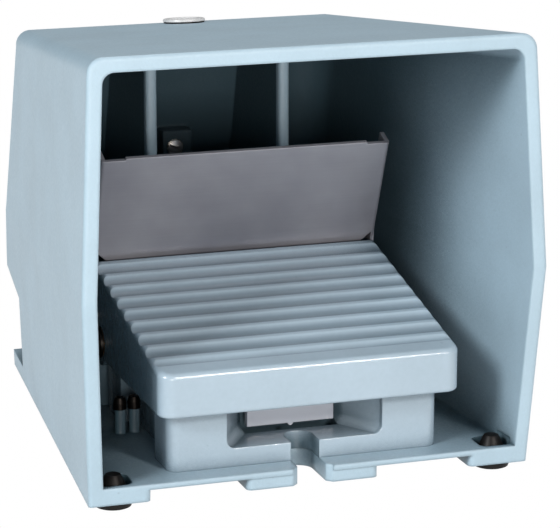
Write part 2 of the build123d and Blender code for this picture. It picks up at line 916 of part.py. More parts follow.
# Countersunk screws that hold the housing from below
housing_screw_profile = (
    (0, 0),
    (housing_screw_head_radius, 0),
    (housing_screw_radius, housing_screw_head_radius - housing_screw_radius),
    (housing_screw_radius, housing_screw_length),
    (0, housing_screw_length),
)
with BuildPart() as housing_screws:
    for x, distance in housing_screw_places():
        add(turned(upright_plane(place(x, distance, 0)), housing_screw_profile))
housing_screws.part.label = "housing_screws"
export_step(housing_screws.part, "parts/housing_screws.step")


# Lid of the contact chamber, its gasket, screws and plunger seals
def lid_outline(height, thickness, border):
    """Flat plate over the chamber, or a frame where border is given."""
    half_depth = (chamber_back_distance - chamber_front_distance) / 2
    with BuildPart() as plate:
        with BuildSketch(level_plane(height)):
            with Locations((0, block_distance)):
                Rectangle(2 * housing_half_width, 2 * half_depth)
                if border:
                    Rectangle(
                        2 * (housing_half_width - border),
                        2 * (half_depth - border),
                        mode=Mode.SUBTRACT,
                    )
            if border:
                with Locations(*lid_corners()):
                    Circle(lid_screw_inset)
            with Locations(*lid_corners()):
                Circle(screw_shank_radius + screw_hole_clearance, mode=Mode.SUBTRACT)
        extrude(amount=thickness)
    return plate.part


plunger_places = ((-block_offset, block_distance), (block_offset, block_distance))

with BuildPart() as lid_gasket:
    add(lid_outline(chamber_rim_height, gasket_thickness, gasket_width))
lid_gasket.part.label = "lid_gasket"
export_step(lid_gasket.part, "parts/lid_gasket.step")

with BuildPart() as chamber_lid:
    add(lid_outline(lid_base_height, lid_thickness, 0))
    with BuildSketch(level_plane(lid_base_height)):
        with Locations(*plunger_places):
            Circle(plunger_radius + running_clearance)
    extrude(amount=lid_thickness, mode=Mode.SUBTRACT)
chamber_lid.part.label = "chamber_lid"
export_step(chamber_lid.part, "parts/chamber_lid.step")

with BuildPart() as plunger_seals:
    with BuildSketch(level_plane(lid_top_height)):
        with Locations(*plunger_places):
            Circle(seal_outer_radius)
            Circle(plunger_radius + seal_gap, mode=Mode.SUBTRACT)
    extrude(amount=seal_thickness)
plunger_seals.part.label = "plunger_seals"
export_step(plunger_seals.part, "parts/plunger_seals.step")

with BuildPart() as lid_screws:
    for x, distance in lid_corners():
        add(
            slotted_screw(
                place(x, distance, lid_top_height),
                (0, 0, 1),
                screw_head_radius,
                screw_head_height,
                screw_shank_radius,
                screw_length,
            )
        )
lid_screws.part.label = "lid_screws"
export_step(lid_screws.part, "parts/lid_screws.step")

# Rail under the contact blocks
with BuildPart() as contact_rail:
    with BuildSketch(level_plane(housing_floor_top)):
        with Locations((0, block_distance)):
            Rectangle(2 * block_offset + block_width + 2 * rail_margin, block_depth)
        with Locations(*rail_screw_places):
            Circle(screw_shank_radius + screw_hole_clearance, mode=Mode.SUBTRACT)
    extrude(amount=rail_thickness)
contact_rail.part.label = "contact_rail"
export_step(contact_rail.part, "parts/contact_rail.step")

with BuildPart() as rail_screws:
    for x, distance in rail_screw_places:
        add(
            slotted_screw(
                place(x, distance, block_base_height),
                (0, 0, 1),
                screw_head_radius,
                screw_head_height,
                screw_shank_radius,
                chamber_floor + rail_thickness,
            )
        )
rail_screws.part.label = "rail_screws"
export_step(rail_screws.part, "parts/rail_screws.step")


# Contact blocks with a plunger, a plunger spring and four terminals each
def terminal_places(offset):
    """Terminal screws of the block that stands at offset: sideways, back."""
    return [
        (offset + side * terminal_spacing / 2, block_distance + end * (block_depth / 2 - block_step_depth / 2))
        for side in (-1, 1)
        for end in (-1, 1)
    ]


plunger_flange_base = lid_base_height - screw_clearance - plunger_flange_height
plunger_bore_floor = block_base_height + block_edge_radius

for offset, name in ((-block_offset, "nc"), (block_offset, "no")):
    step_top = block_top_height - block_step_drop
    with BuildPart() as contact_block:
        with BuildSketch(side_plane(offset - block_width / 2)):
            with BuildLine():
                Polyline(
                    (block_distance - block_depth / 2, block_base_height),
                    (block_distance + block_depth / 2, block_base_height),
                    (block_distance + block_depth / 2, step_top),
                    (block_distance + block_depth / 2 - block_step_depth, step_top),
                    (block_distance + block_depth / 2 - block_step_depth, block_top_height),
                    (block_distance - block_depth / 2 + block_step_depth, block_top_height),
                    (block_distance - block_depth / 2 + block_step_depth, step_top),
                    (block_distance - block_depth / 2, step_top),
                    close=True,
                )
            make_face()
        extrude(amount=block_width)
        fillet(contact_block.edges().filter_by(Axis.Z), block_edge_radius / 2)
        with BuildSketch(level_plane(plunger_bore_floor)):
            with Locations((offset, block_distance)):
                Circle(plunger_bore_radius)
        extrude(amount=block_height, mode=Mode.SUBTRACT)
        with BuildSketch(level_plane(step_top)):
            with Locations(*terminal_places(offset)):
                Circle(terminal_shank_radius + screw_clearance)
        extrude(amount=-terminal_shank_length - overrun, mode=Mode.SUBTRACT)
    contact_block.part.label = "contact_block_" + name
    export_step(contact_block.part, "parts/contact_block_" + name + ".step")

    with BuildPart() as plunger:
        with BuildSketch(level_plane(plunger_flange_base)):
            with Locations((offset, block_distance)):
                Circle(plunger_flange_radius)
        extrude(amount=plunger_flange_height)
        with BuildSketch(level_plane(plunger_flange_base)):
            with Locations((offset, block_distance)):
                Circle(plunger_radius)
        extrude(amount=plunger_top_height - plunger_flange_base)
        fillet(plunger.edges().group_by(Axis.Z)[-1], plunger_radius / 4)
        with BuildSketch(level_plane(plunger_flange_base)):
            with Locations((offset, block_distance)):
                Circle(plunger_spring_radius - 2 * plunger_spring_wire_radius)
        extrude(amount=-plunger_flange_height)
    plunger.part.label = "plunger_" + name
    export_step(plunger.part, "parts/plunger_" + name + ".step")

    with BuildPart() as plunger_spring:
        add(
            coil_spring(
                place(offset, block_distance, plunger_bore_floor),
                plunger_spring_radius,
                plunger_spring_wire_radius,
                plunger_flange_base - plunger_bore_floor - spring_end_gap,
                plunger_spring_turns,
            )
        )
    plunger_spring.part.label = "plunger_spring_" + name
    export_step(plunger_spring.part, "parts/plunger_spring_" + name + ".step")

with BuildPart() as terminal_screws:
    for offset in (-block_offset, block_offset):
        for x, distance in terminal_places(offset):
            add(
                slotted_screw(
                    place(x, distance, block_top_height - block_step_drop),
                    (0, 0, 1),
                    terminal_head_radius,
                    terminal_head_height,
                    terminal_shank_radius,
                    terminal_shank_length,
                )
            )
terminal_screws.part.label = "terminal_screws"
export_step(terminal_screws.part, "parts/terminal_screws.step")

# Pedal: a cast cap with ribs, skirts round the shaft and a tongue at the front
plate_drop = pedal_plate / math.cos(math.radians(pedal_slope))
pedal_outline = (
    (0, pedal_lower_height),
    (0, pedal_top(0)),
    (pedal_back_distance, pedal_top(pedal_back_distance)),
    (pedal_back_distance, pivot_height),
    (pivot_distance, pedal_lower_height),
)
pedal_cavity_front = pedal_wall
pedal_cavity_back = pedal_back_distance - pedal_wall
pedal_cavity_outline = (
    (pedal_cavity_front, pedal_lower_height - overrun),
    (pedal_cavity_front, pedal_top(pedal_cavity_front) - plate_drop),
    (pedal_cavity_back, pedal_top(pedal_cavity_back) - plate_drop),
    (pedal_cavity_back, pedal_back_wall_height),
    (pedal_back_distance + overrun, pedal_back_wall_height),
    (pedal_back_distance + overrun, pivot_height - pivot_boss_radius - overrun),
    (pedal_cavity_front, pivot_height - pivot_boss_radius - overrun),
)
slope_stretch = 1 / math.cos(math.radians(pedal_slope))

# Concave flutes between the crests of the tread; the front one is shallow
flute_width = rib_pitch - rib_crest_width
flute_radius = (flute_width ** 2 / 4 + rib_height ** 2) / (2 * rib_height)
front_flute_radius = (front_flute_width ** 2 / 4 + front_flute_depth ** 2) / (2 * front_flute_depth)
tread_plane = Plane(
    origin=place(0, 0, pedal_top(0)),
    x_dir=(0, 1, pedal_slope_share),
    z_dir=(1, 0, 0),
)
flute_places = [
    ((rib_first_distance + index * rib_pitch + rib_pitch / 2) * slope_stretch, flute_radius - rib_height)
    for index in range(rib_count - 1)
]
front_flute_place = (
    (rib_first_distance - (rib_crest_width + front_flute_width) / 2) * slope_stretch,
    front_flute_radius - front_flute_depth,
)

with BuildPart() as pedal:
    with BuildSketch(side_plane()):
        with BuildLine():
            Polyline(*pedal_outline, close=True)
        make_face()
    extrude(amount=pedal_half_width, both=True)
    upright_front = pedal.edges().filter_by(Axis.Z).group_by(Axis.Y)[0]
    fillet(upright_front, pedal_corner_radius)
    lower_front = [
        edge
        for edge in pedal.edges()
        if edge.center().Z < underside_z + pedal_lower_height + overrun
        and edge.center().Y < front_edge_y + pedal_corner_radius
    ]
    fillet(lower_front, pedal_lower_radius)
    top_face = pedal.faces().sort_by(Axis.Z)[-1]
    top_edges = [edge for edge in top_face.edges() if edge.center().Y < front_edge_y + pedal_cavity_back]
    fillet(top_edges, pedal_edge_radius)
    with BuildSketch(side_plane()):
        with Locations((pivot_distance, pivot_height)):
            Circle(pivot_boss_radius)
    extrude(amount=pedal_half_width, both=True)
    with BuildSketch(side_plane()):
        with BuildLine():
            Polyline(*pedal_cavity_outline, close=True)
        make_face()
    extrude(amount=pedal_half_width - pedal_wall, both=True, mode=Mode.SUBTRACT)
    # Tongue with its pip
    with BuildSketch(facing_plane(tongue_distance + tongue_thickness)):
        tongue_top = pedal_top(tongue_distance) - plate_drop / 2
        with Locations((0, (tongue_lower_height + tongue_top) / 2)):
            Rectangle(2 * tongue_half_width, tongue_top - tongue_lower_height)
        with Locations((0, tongue_lower_height)):
            Circle(tongue_pip_radius)
    extrude(amount=tongue_thickness)
    # Seats and pins for the springs, bosses for the adjusters
    with BuildSketch(level_plane(spring_seat_height)):
        with Locations(*spring_cup_places):
            Circle(spring_seat_radius)
    extrude(amount=pedal_top(spring_distance) - plate_drop / 2 - spring_seat_height)
    with BuildSketch(level_plane(spring_seat_height)):
        with Locations(*spring_cup_places):
            Circle(spring_pin_radius)
    extrude(amount=-spring_pin_length)
    with BuildSketch(level_plane(pedal_top(block_distance) - plate_drop - adjuster_boss_depth)):
        with Locations(*plunger_places):
            Circle(adjuster_boss_radius)
    extrude(amount=adjuster_boss_depth + plate_drop / 2)
    with BuildSketch(level_plane(pedal_top(block_distance) - plate_drop - adjuster_boss_depth)):
        with Locations(*plunger_places):
            Circle(adjuster_radius + screw_clearance)
    extrude(amount=adjuster_boss_depth, mode=Mode.SUBTRACT)
    # Flutes of the tread
    with BuildSketch(tread_plane):
        with Locations(*flute_places):
            Circle(flute_radius)
        with Locations(front_flute_place):
            Circle(front_flute_radius)
    extrude(amount=pedal_half_width + overrun, both=True, mode=Mode.SUBTRACT)
    # Bores for the bushes and holes for the catch's screws
    with BuildSketch(side_plane(-pedal_half_width - overrun)):
        with Locations((pivot_distance, pivot_height)):
            Circle(shaft_radius + running_clearance + bush_wall + bush_clearance)
    extrude(amount=2 * (pedal_half_width + overrun), mode=Mode.SUBTRACT)
    with BuildSketch(facing_plane(pedal_cavity_back)):
        with Locations((-catch_screw_offset, catch_screw_height), (catch_screw_offset, catch_screw_height)):
            Circle(screw_shank_radius + screw_clearance)
    extrude(amount=-pedal_wall, mode=Mode.SUBTRACT)
pedal.part.label = "pedal"
export_step(pedal.part, "parts/pedal.step")

# Adjusters under the pedal that press the plungers, and their nuts
adjuster_base = plunger_top_height + adjuster_gap
boss_base = pedal_top(block_distance) - plate_drop - adjuster_boss_depth
with BuildPart() as adjuster_screws:
    with BuildSketch(level_plane(adjuster_base)):
        with Locations(*plunger_places):
            Circle(adjuster_radius)
    extrude(amount=boss_base + adjuster_boss_depth - adjuster_base)
    chamfer(adjuster_screws.edges().group_by(Axis.Z)[0], adjuster_radius / 4)
adjuster_screws.part.label = "adjuster_screws"
export_step(adjuster_screws.part, "parts/adjuster_screws.step")

with BuildPart() as adjuster_nuts:
    with BuildSketch(level_plane(boss_base)):
        with Locations(*plunger_places):
            RegularPolygon(adjuster_nut_width / 2, 6, major_radius=False)
            Circle(adjuster_radius + screw_clearance, mode=Mode.SUBTRACT)
    extrude(amount=-adjuster_nut_height)
adjuster_nuts.part.label = "adjuster_nuts"
export_step(adjuster_nuts.part, "parts/adjuster_nuts.step")


# Shaft and axle with their retaining rings
def grooved_rod(distance, height, radius, half_length, groove_offset):
    """Rod along X with a ring groove near each end."""
    with BuildPart() as rod:
        with BuildSketch(side_plane(-half_length)):
            with Locations((distance, height)):
                Circle(radius)
        extrude(amount=2 * half_length)
        chamfer(rod.edges(), ring_groove_depth)
        for side in (-1, 1):
            with BuildSketch(side_plane(side * (groove_offset + ring_thickness / 2) - ring_thickness / 2)):
                with Locations((distance, height)):
                    Circle(radius + overrun)
                    Circle(radius - ring_groove_depth, mode=Mode.SUBTRACT)
            extrude(amount=ring_thickness, mode=Mode.SUBTRACT)
    return rod.part


def retaining_ring(distance, height, radius, outer_radius, start):
    """Open ring that sits in a groove; its gap points down."""
    opening = math.radians(ring_opening_angle) / 2
    with BuildPart() as ring:
        with BuildSketch(side_plane(start)):
            with Locations((distance, height)):
                Circle(outer_radius)
                Circle(radius - ring_groove_depth, mode=Mode.SUBTRACT)
            with Locations((distance, height - outer_radius)):
                Rectangle(2 * outer_radius * math.sin(opening), 2 * outer_radius - radius, mode=Mode.SUBTRACT)
        extrude(amount=ring_thickness)
    return ring.part


def ring_pair(distance, height, radius, outer_radius, groove_offset):
    """Both rings of a rod."""
    with BuildPart() as pair:
        add(retaining_ring(distance, height, radius, outer_radius, groove_offset))
        add(retaining_ring(distance, height, radius, outer_radius, -groove_offset - ring_thickness))
    return pair.part


shaft_groove_offset = pedal_half_width + lug_side_gap
with BuildPart() as pedal_shaft:
    add(
        grooved_rod(
            pivot_distance,
            pivot_height,
            shaft_radius,
            pedal_half_width + shaft_overhang,
            shaft_groove_offset,
        )
    )
pedal_shaft.part.label = "pedal_shaft"
export_step(pedal_shaft.part, "parts/pedal_shaft.step")

with BuildPart() as shaft_rings:
    add(ring_pair(pivot_distance, pivot_height, shaft_radius, ring_outer_radius, shaft_groove_offset))
shaft_rings.part.label = "shaft_rings"
export_step(shaft_rings.part, "parts/shaft_rings.step")

with BuildPart() as pedal_bushes:
    for side in (-1, 1):
        inner_face = side * (pedal_half_width - pedal_wall)
        outward = Plane(origin=place(inner_face, pivot_distance, pivot_height), z_dir=(side, 0, 0))
        with BuildSketch(outward):
            Circle(shaft_radius + running_clearance + bush_wall)
            Circle(shaft_radius + running_clearance, mode=Mode.SUBTRACT)
        extrude(amount=pedal_wall)
        with BuildSketch(outward):
            Circle(shaft_radius + running_clearance + 2 * bush_wall)
            Circle(shaft_radius + running_clearance, mode=Mode.SUBTRACT)
        extrude(amount=-bush_flange)
pedal_bushes.part.label = "pedal_bushes"
export_step(pedal_bushes.part, "parts/pedal_bushes.step")

# Return springs of the pedal
with BuildPart() as pedal_springs:
    for x, distance in spring_cup_places:
        add(
            coil_spring(
                place(x, distance, spring_cup_floor),
                spring_radius,
                spring_wire_radius,
                spring_seat_height - spring_cup_floor - spring_end_gap,
                spring_turns,
            )
        )
pedal_springs.part.label = "pedal_springs"
export_step(pedal_springs.part, "parts/pedal_springs.step")

# Catch plate behind the pedal, and its screws
with BuildPart() as pedal_catch:
    with BuildSketch(side_plane()):
        with BuildLine():
            Polyline(
                (pedal_cavity_back - catch_sheet, catch_height),
                (catch_end_distance, catch_height),
                (catch_end_distance, catch_height + catch_sheet),
                (pedal_cavity_back, catch_height + catch_sheet),
                (pedal_cavity_back, catch_leg_top),
                (pedal_cavity_back - catch_sheet, catch_leg_top),
                close=True,
            )
        make_face()
    extrude(amount=catch_half_width, both=True)
    with BuildSketch(facing_plane(pedal_cavity_back)):
        with Locations((-catch_screw_offset, catch_screw_height), (catch_screw_offset, catch_screw_height)):
            Circle(screw_shank_radius + screw_clearance)
    extrude(amount=catch_sheet, mode=Mode.SUBTRACT)
pedal_catch.part.label = "pedal_catch"
export_step(pedal_catch.part, "parts/pedal_catch.step")

with BuildPart() as catch_screws:
    for side in (-1, 1):
        add(
            slotted_screw(
                place(side * catch_screw_offset, pedal_cavity_back - catch_sheet, catch_screw_height),
                (0, -1, 0),
                screw_head_radius,
                screw_head_height,
                screw_shank_radius,
                catch_sheet + pedal_wall,
            )
        )
catch_screws.part.label = "catch_screws"
export_step(catch_screws.part, "parts/catch_screws.step")


# Toe flap: a leaning plate with bent edges, arms to the axle and spring tails
def flap_point(along, back):
    """Distance and height of a point of the flap, along its face and behind it."""
    return (
        flap_lower_distance - along * math.sin(flap_lean) + back * math.cos(flap_lean),
        flap_lower_height + along * math.cos(flap_lean) + back * math.sin(flap_lean),
    )


flap_face = Plane(
    origin=place(0, flap_lower_distance, flap_lower_height),
    x_dir=(1, 0, 0),
    z_dir=(0, -math.cos(flap_lean), -math.sin(flap_lean)),
)
arm_outline = (
    flap_point(0, 0),
    flap_point(flap_length - flap_shoulder_drop, 0),
    flap_point(flap_length - flap_shoulder_drop, flap_flange_depth),
    flap_point(flap_gusset_length, flap_flange_depth),
    (flap_axle_distance + flap_arm_radius, flap_axle_height),
    (flap_axle_distance - flap_arm_radius, flap_axle_height),
)

with BuildPart() as flap:
    with BuildSketch(flap_face):
        shoulder = flap_length - flap_shoulder_drop
        raised_half = flap_half_width - flap_shoulder_width
        with BuildLine():
            Polyline(
                (-flap_half_width + flap_corner_cut, 0),
                (flap_half_width - flap_corner_cut, 0),
                (flap_half_width, flap_corner_cut),
                (flap_half_width, shoulder),
                (raised_half, shoulder),
                (raised_half, flap_length),
                (-raised_half, flap_length),
                (-raised_half, shoulder),
                (-flap_half_width, shoulder),
                (-flap_half_width, flap_corner_cut),
                close=True,
            )
        make_face()
    extrude(amount=-flap_sheet)
    for side in (-1, 1):
        with BuildSketch(side_plane(side * (flap_half_width - flap_sheet / 2) - flap_sheet / 2)):
            with BuildLine():
                Polyline(*arm_outline, close=True)
            make_face()
            with Locations((flap_axle_distance, flap_axle_height)):
                Circle(flap_arm_radius)
            with Locations(((flap_axle_distance + flap_tail_end) / 2, flap_axle_height + flap_sheet)):
                Rectangle(flap_tail_end - flap_axle_distance, 2 * flap_sheet)
        extrude(amount=flap_sheet)
        tail_middle = side * (flap_tail_half_inner + flap_half_width) / 2
        with BuildSketch(level_plane(flap_axle_height)):
            with Locations((tail_middle, (flap_tail_start + flap_tail_end) / 2)):
                Rectangle(flap_half_width - flap_tail_half_inner, flap_tail_end - flap_tail_start)
        extrude(amount=flap_sheet)
    with BuildSketch(side_plane(-flap_half_width - overrun)):
        with Locations((flap_axle_distance, flap_axle_height)):
            Circle(flap_axle_radius + running_clearance)
    extrude(amount=2 * (flap_half_width + overrun), mode=Mode.SUBTRACT)
    bends = [
        edge
        for edge in flap.edges()
        if abs(edge.tangent_at(0).dot(flap_face.y_dir)) > math.cos(flap_lean)
        and edge.length > flap_length / 2
        and abs(abs(edge.center().X) - flap_half_width) < screw_clearance
        and abs((edge.center() - flap_face.origin).dot(flap_face.z_dir)) < screw_clearance
    ]
    fillet(bends, flap_bend_radius)
flap.part.label = "flap"
export_step(flap.part, "parts/flap.step")

axle_groove_offset = flap_half_width + lug_side_gap
with BuildPart() as flap_axle:
    add(
        grooved_rod(
            flap_axle_distance,
            flap_axle_height,
            flap_axle_radius,
            flap_half_width + shaft_overhang,
            axle_groove_offset,
        )
    )
flap_axle.part.label = "flap_axle"
export_step(flap_axle.part, "parts/flap_axle.step")

with BuildPart() as flap_rings:
    add(ring_pair(flap_axle_distance, flap_axle_height, flap_axle_radius, flap_ring_radius, axle_groove_offset))
flap_rings.part.label = "flap_rings"
export_step(flap_rings.part, "parts/flap_rings.step")

with BuildPart() as flap_springs:
    for x, distance in flap_spring_places:
        add(
            coil_spring(
                place(x, distance, rear_deck_top),
                flap_spring_radius,
                flap_spring_wire_radius,
                flap_axle_height - rear_deck_top - spring_end_gap,
                flap_spring_turns,
            )
        )
flap_springs.part.label = "flap_springs"
export_step(flap_springs.part, "parts/flap_springs.step")

# Latch plate welded behind the flap; its nose hangs over the pedal's catch
nose_height = catch_height + catch_sheet + latch_gap
nose_front = catch_end_distance - latch_overlap
with BuildPart() as latch_pawl:
    with BuildSketch(side_plane()):
        with BuildLine():
            Polyline(
                flap_point(latch_weld_length, flap_sheet),
                flap_point(0, flap_sheet),
                (nose_front, nose_height),
                (nose_front + latch_sheet, nose_height),
                flap_point(0, flap_sheet + latch_sheet),
                flap_point(latch_weld_length, flap_sheet + latch_sheet),
                close=True,
            )
        make_face()
    extrude(amount=latch_half_width, both=True)
latch_pawl.part.label = "latch_pawl"
export_step(latch_pawl.part, "parts/latch_pawl.step")

# Cable gland: body, washer, sealing insert and cap
gland_axis = Plane(origin=place(0, recess_distance, gland_height), z_dir=(0, 1, 0))
hex_start = gland_washer_thickness
sleeve_start = hex_start + gland_hex_depth
cap_gap = screw_hole_clearance
with BuildPart() as gland_washer:
    with BuildSketch(gland_axis):
        Circle(gland_hex_width / 2)
        Circle(gland_thread_radius + gland_thread_clearance, mode=Mode.SUBTRACT)
    extrude(amount=gland_washer_thickness)
gland_washer.part.label = "gland_washer"
export_step(gland_washer.part, "parts/gland_washer.step")

with BuildPart() as gland_body:
    with BuildSketch(gland_axis.offset(hex_start)):
        RegularPolygon(gland_hex_width / 2, 6, major_radius=False)
    extrude(amount=gland_hex_depth)
    with BuildSketch(gland_axis.offset(hex_start)):
        Circle(gland_thread_radius)
    extrude(amount=-gland_thread_length - gland_washer_thickness + cap_gap)
    with BuildSketch(gland_axis.offset(sleeve_start)):
        Circle(gland_sleeve_radius)
    extrude(amount=gland_sleeve_length)
    with BuildSketch(gland_axis.offset(sleeve_start + gland_sleeve_length)):
        Circle(gland_bore_radius)
    extrude(amount=-gland_sleeve_length, mode=Mode.SUBTRACT)
    with BuildSketch(gland_axis.offset(sleeve_start)):
        Circle(cable_radius)
    extrude(amount=-gland_thread_length - sleeve_start - overrun, mode=Mode.SUBTRACT)
gland_body.part.label = "gland_body"
export_step(gland_body.part, "parts/gland_body.step")

with BuildPart() as gland_insert:
    with BuildSketch(gland_axis.offset(sleeve_start)):
        Circle(gland_insert_radius)
        Circle(cable_radius, mode=Mode.SUBTRACT)
    extrude(amount=gland_sleeve_length)
gland_insert.part.label = "gland_insert"
export_step(gland_insert.part, "parts/gland_insert.step")

with BuildPart() as gland_cap:
    with BuildSketch(gland_axis.offset(sleeve_start + cap_gap)):
        RegularPolygon(gland_cap_width / 2, 6, major_radius=False)
        Circle(gland_sleeve_radius + screw_clearance, mode=Mode.SUBTRACT)
    extrude(amount=gland_sleeve_length - cap_gap)
    with BuildSketch(gland_axis.offset(sleeve_start + gland_sleeve_length)):
        Circle(gland_cap_width / 2)
        Circle(cable_radius, mode=Mode.SUBTRACT)
    extrude(amount=gland_cap_depth - gland_sleeve_length)
    chamfer(gland_cap.edges().group_by(Axis.Y)[-1].sort_by(SortBy.LENGTH)[-1], gland_cap_dome / 2)
gland_cap.part.label = "gland_cap"
export_step(gland_cap.part, "parts/gland_cap.step")
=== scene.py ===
"""Looks of an industrial foot switch: cast guard hood, ribbed pedal, toe flap and fittings."""

import logging
import math
from dataclasses import dataclass, field
from enum import Enum

import bmesh
import bpy
from mathutils import Matrix, Vector


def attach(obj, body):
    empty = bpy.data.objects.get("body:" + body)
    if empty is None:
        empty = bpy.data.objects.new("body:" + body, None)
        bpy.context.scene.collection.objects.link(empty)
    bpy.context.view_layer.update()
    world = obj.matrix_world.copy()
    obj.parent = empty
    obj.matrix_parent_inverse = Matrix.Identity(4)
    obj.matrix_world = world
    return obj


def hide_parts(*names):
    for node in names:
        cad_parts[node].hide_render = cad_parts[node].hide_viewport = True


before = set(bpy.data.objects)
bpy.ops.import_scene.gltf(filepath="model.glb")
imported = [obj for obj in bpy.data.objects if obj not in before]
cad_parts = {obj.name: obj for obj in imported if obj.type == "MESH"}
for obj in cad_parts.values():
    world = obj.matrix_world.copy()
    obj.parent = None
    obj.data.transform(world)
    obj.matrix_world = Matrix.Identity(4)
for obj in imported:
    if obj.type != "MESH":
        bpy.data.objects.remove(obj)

LOG = logging.getLogger("foot_switch")
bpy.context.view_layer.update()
MM = 0.001
FRONT_EDGE_Y = -84.25
UNDERSIDE_Z = 2.6
# Range in which nearly all of a noise factor lies
NOISE_LOW = 0.3
NOISE_HIGH = 0.7
PAINT_IOR = 1.5
# Points nearer than this, in metres, become one
MERGE_REACH = 1e-7
# Painted shade: colour towards which the enamel darkens where it is sheltered, and its factor
PAINTED_SHADE_COLOUR = ("#22363F", 1.7)
# Dirt and painted shade in the grooves of the tread, and its factor
GROOVE_DIRT_AND_SHADE = ("#5D6F7B", 0.8)
# Metal of the tongue where the enamel is worn away
WORN_METAL = "#B9C2CF"


def spot(across: float, back: float, up: float) -> Vector:
    """Turn a place on the switch into the shared frame.

    Args:
        across: Millimetres to the right of the middle plane.
        back: Millimetres behind the front edge of the base.
        up: Millimetres above the underside of the base.

    Returns:
        The same place in metres.
    """
    return Vector((across, FRONT_EDGE_Y + back, UNDERSIDE_Z + up)) * MM


def linear(hex_colour: str, share: float = 1.0) -> tuple[float, float, float, float]:
    """Turn an sRGB hex colour into linear light.

    Args:
        hex_colour: Colour as six hex digits with a leading hash.
        share: Factor on the linear values, to darken or lighten.

    Returns:
        Red, green, blue and an alpha of one.
    """
    channels = [int(hex_colour[i : i + 2], 16) / 255 for i in (1, 3, 5)]
    light = [c / 12.92 if c <= 0.04045 else ((c + 0.055) / 1.055) ** 2.4 for c in channels]
    return (*[min(1.0, value * share) for value in light], 1.0)


def add_node(tree: bpy.types.NodeTree, kind: str, inputs: dict | None = None, **settings: object) -> bpy.types.Node:
    """Add one node with its settings, values and links.

    Args:
        tree: Tree that takes the node.
        kind: Blender's name of the node type.
        inputs: Socket name or number to a value, or to a socket that feeds it.
        **settings: Attributes set on the node itself.

    Returns:
        The new node.
    """
    node = tree.nodes.new(kind)
    for key, value in settings.items():
        setattr(node, key, value)
    for key, value in (inputs or {}).items():
        if isinstance(value, bpy.types.NodeSocket):
            tree.links.new(value, node.inputs[key])
        else:
            node.inputs[key].default_value = value
    return node


def maths(tree: bpy.types.NodeTree, operation: str, *values: float | bpy.types.NodeSocket) -> bpy.types.NodeSocket:
    """Work out one sum in a tree.

    Args:
        tree: Tree that takes the node.
        operation: Blender's name of the sum.
        *values: Numbers or sockets that go in.

    Returns:
        The result.
    """
    return add_node(tree, "ShaderNodeMath", dict(enumerate(values)), operation=operation).outputs[0]


def ranged(
    tree: bpy.types.NodeTree,
    value: bpy.types.NodeSocket,
    start: float,
    end: float,
    low: float = 0.0,
    high: float | bpy.types.NodeSocket = 1.0,
) -> bpy.types.NodeSocket:
    """Carry a value over from one range to another and hold it there.

    Args:
        tree: Tree that takes the node.
        value: Value that is carried over.
        start: Value that gives the low result.
        end: Value that gives the high result.
        low: Result at the start.
        high: Result at the end.

    Returns:
        The carried value.
    """
    values = {"Value": value, "From Min": start, "From Max": end, "To Min": low, "To Max": high}
    return add_node(tree, "ShaderNodeMapRange", values).outputs["Result"]


class Weave(Enum):
    """How the fine lines of a worked metal run."""

    ACROSS = (1.0, 60.0, 60.0)
    AROUND_X = (60.0, 1.0, 1.0)
    EVEN = (1.0, 1.0, 1.0)


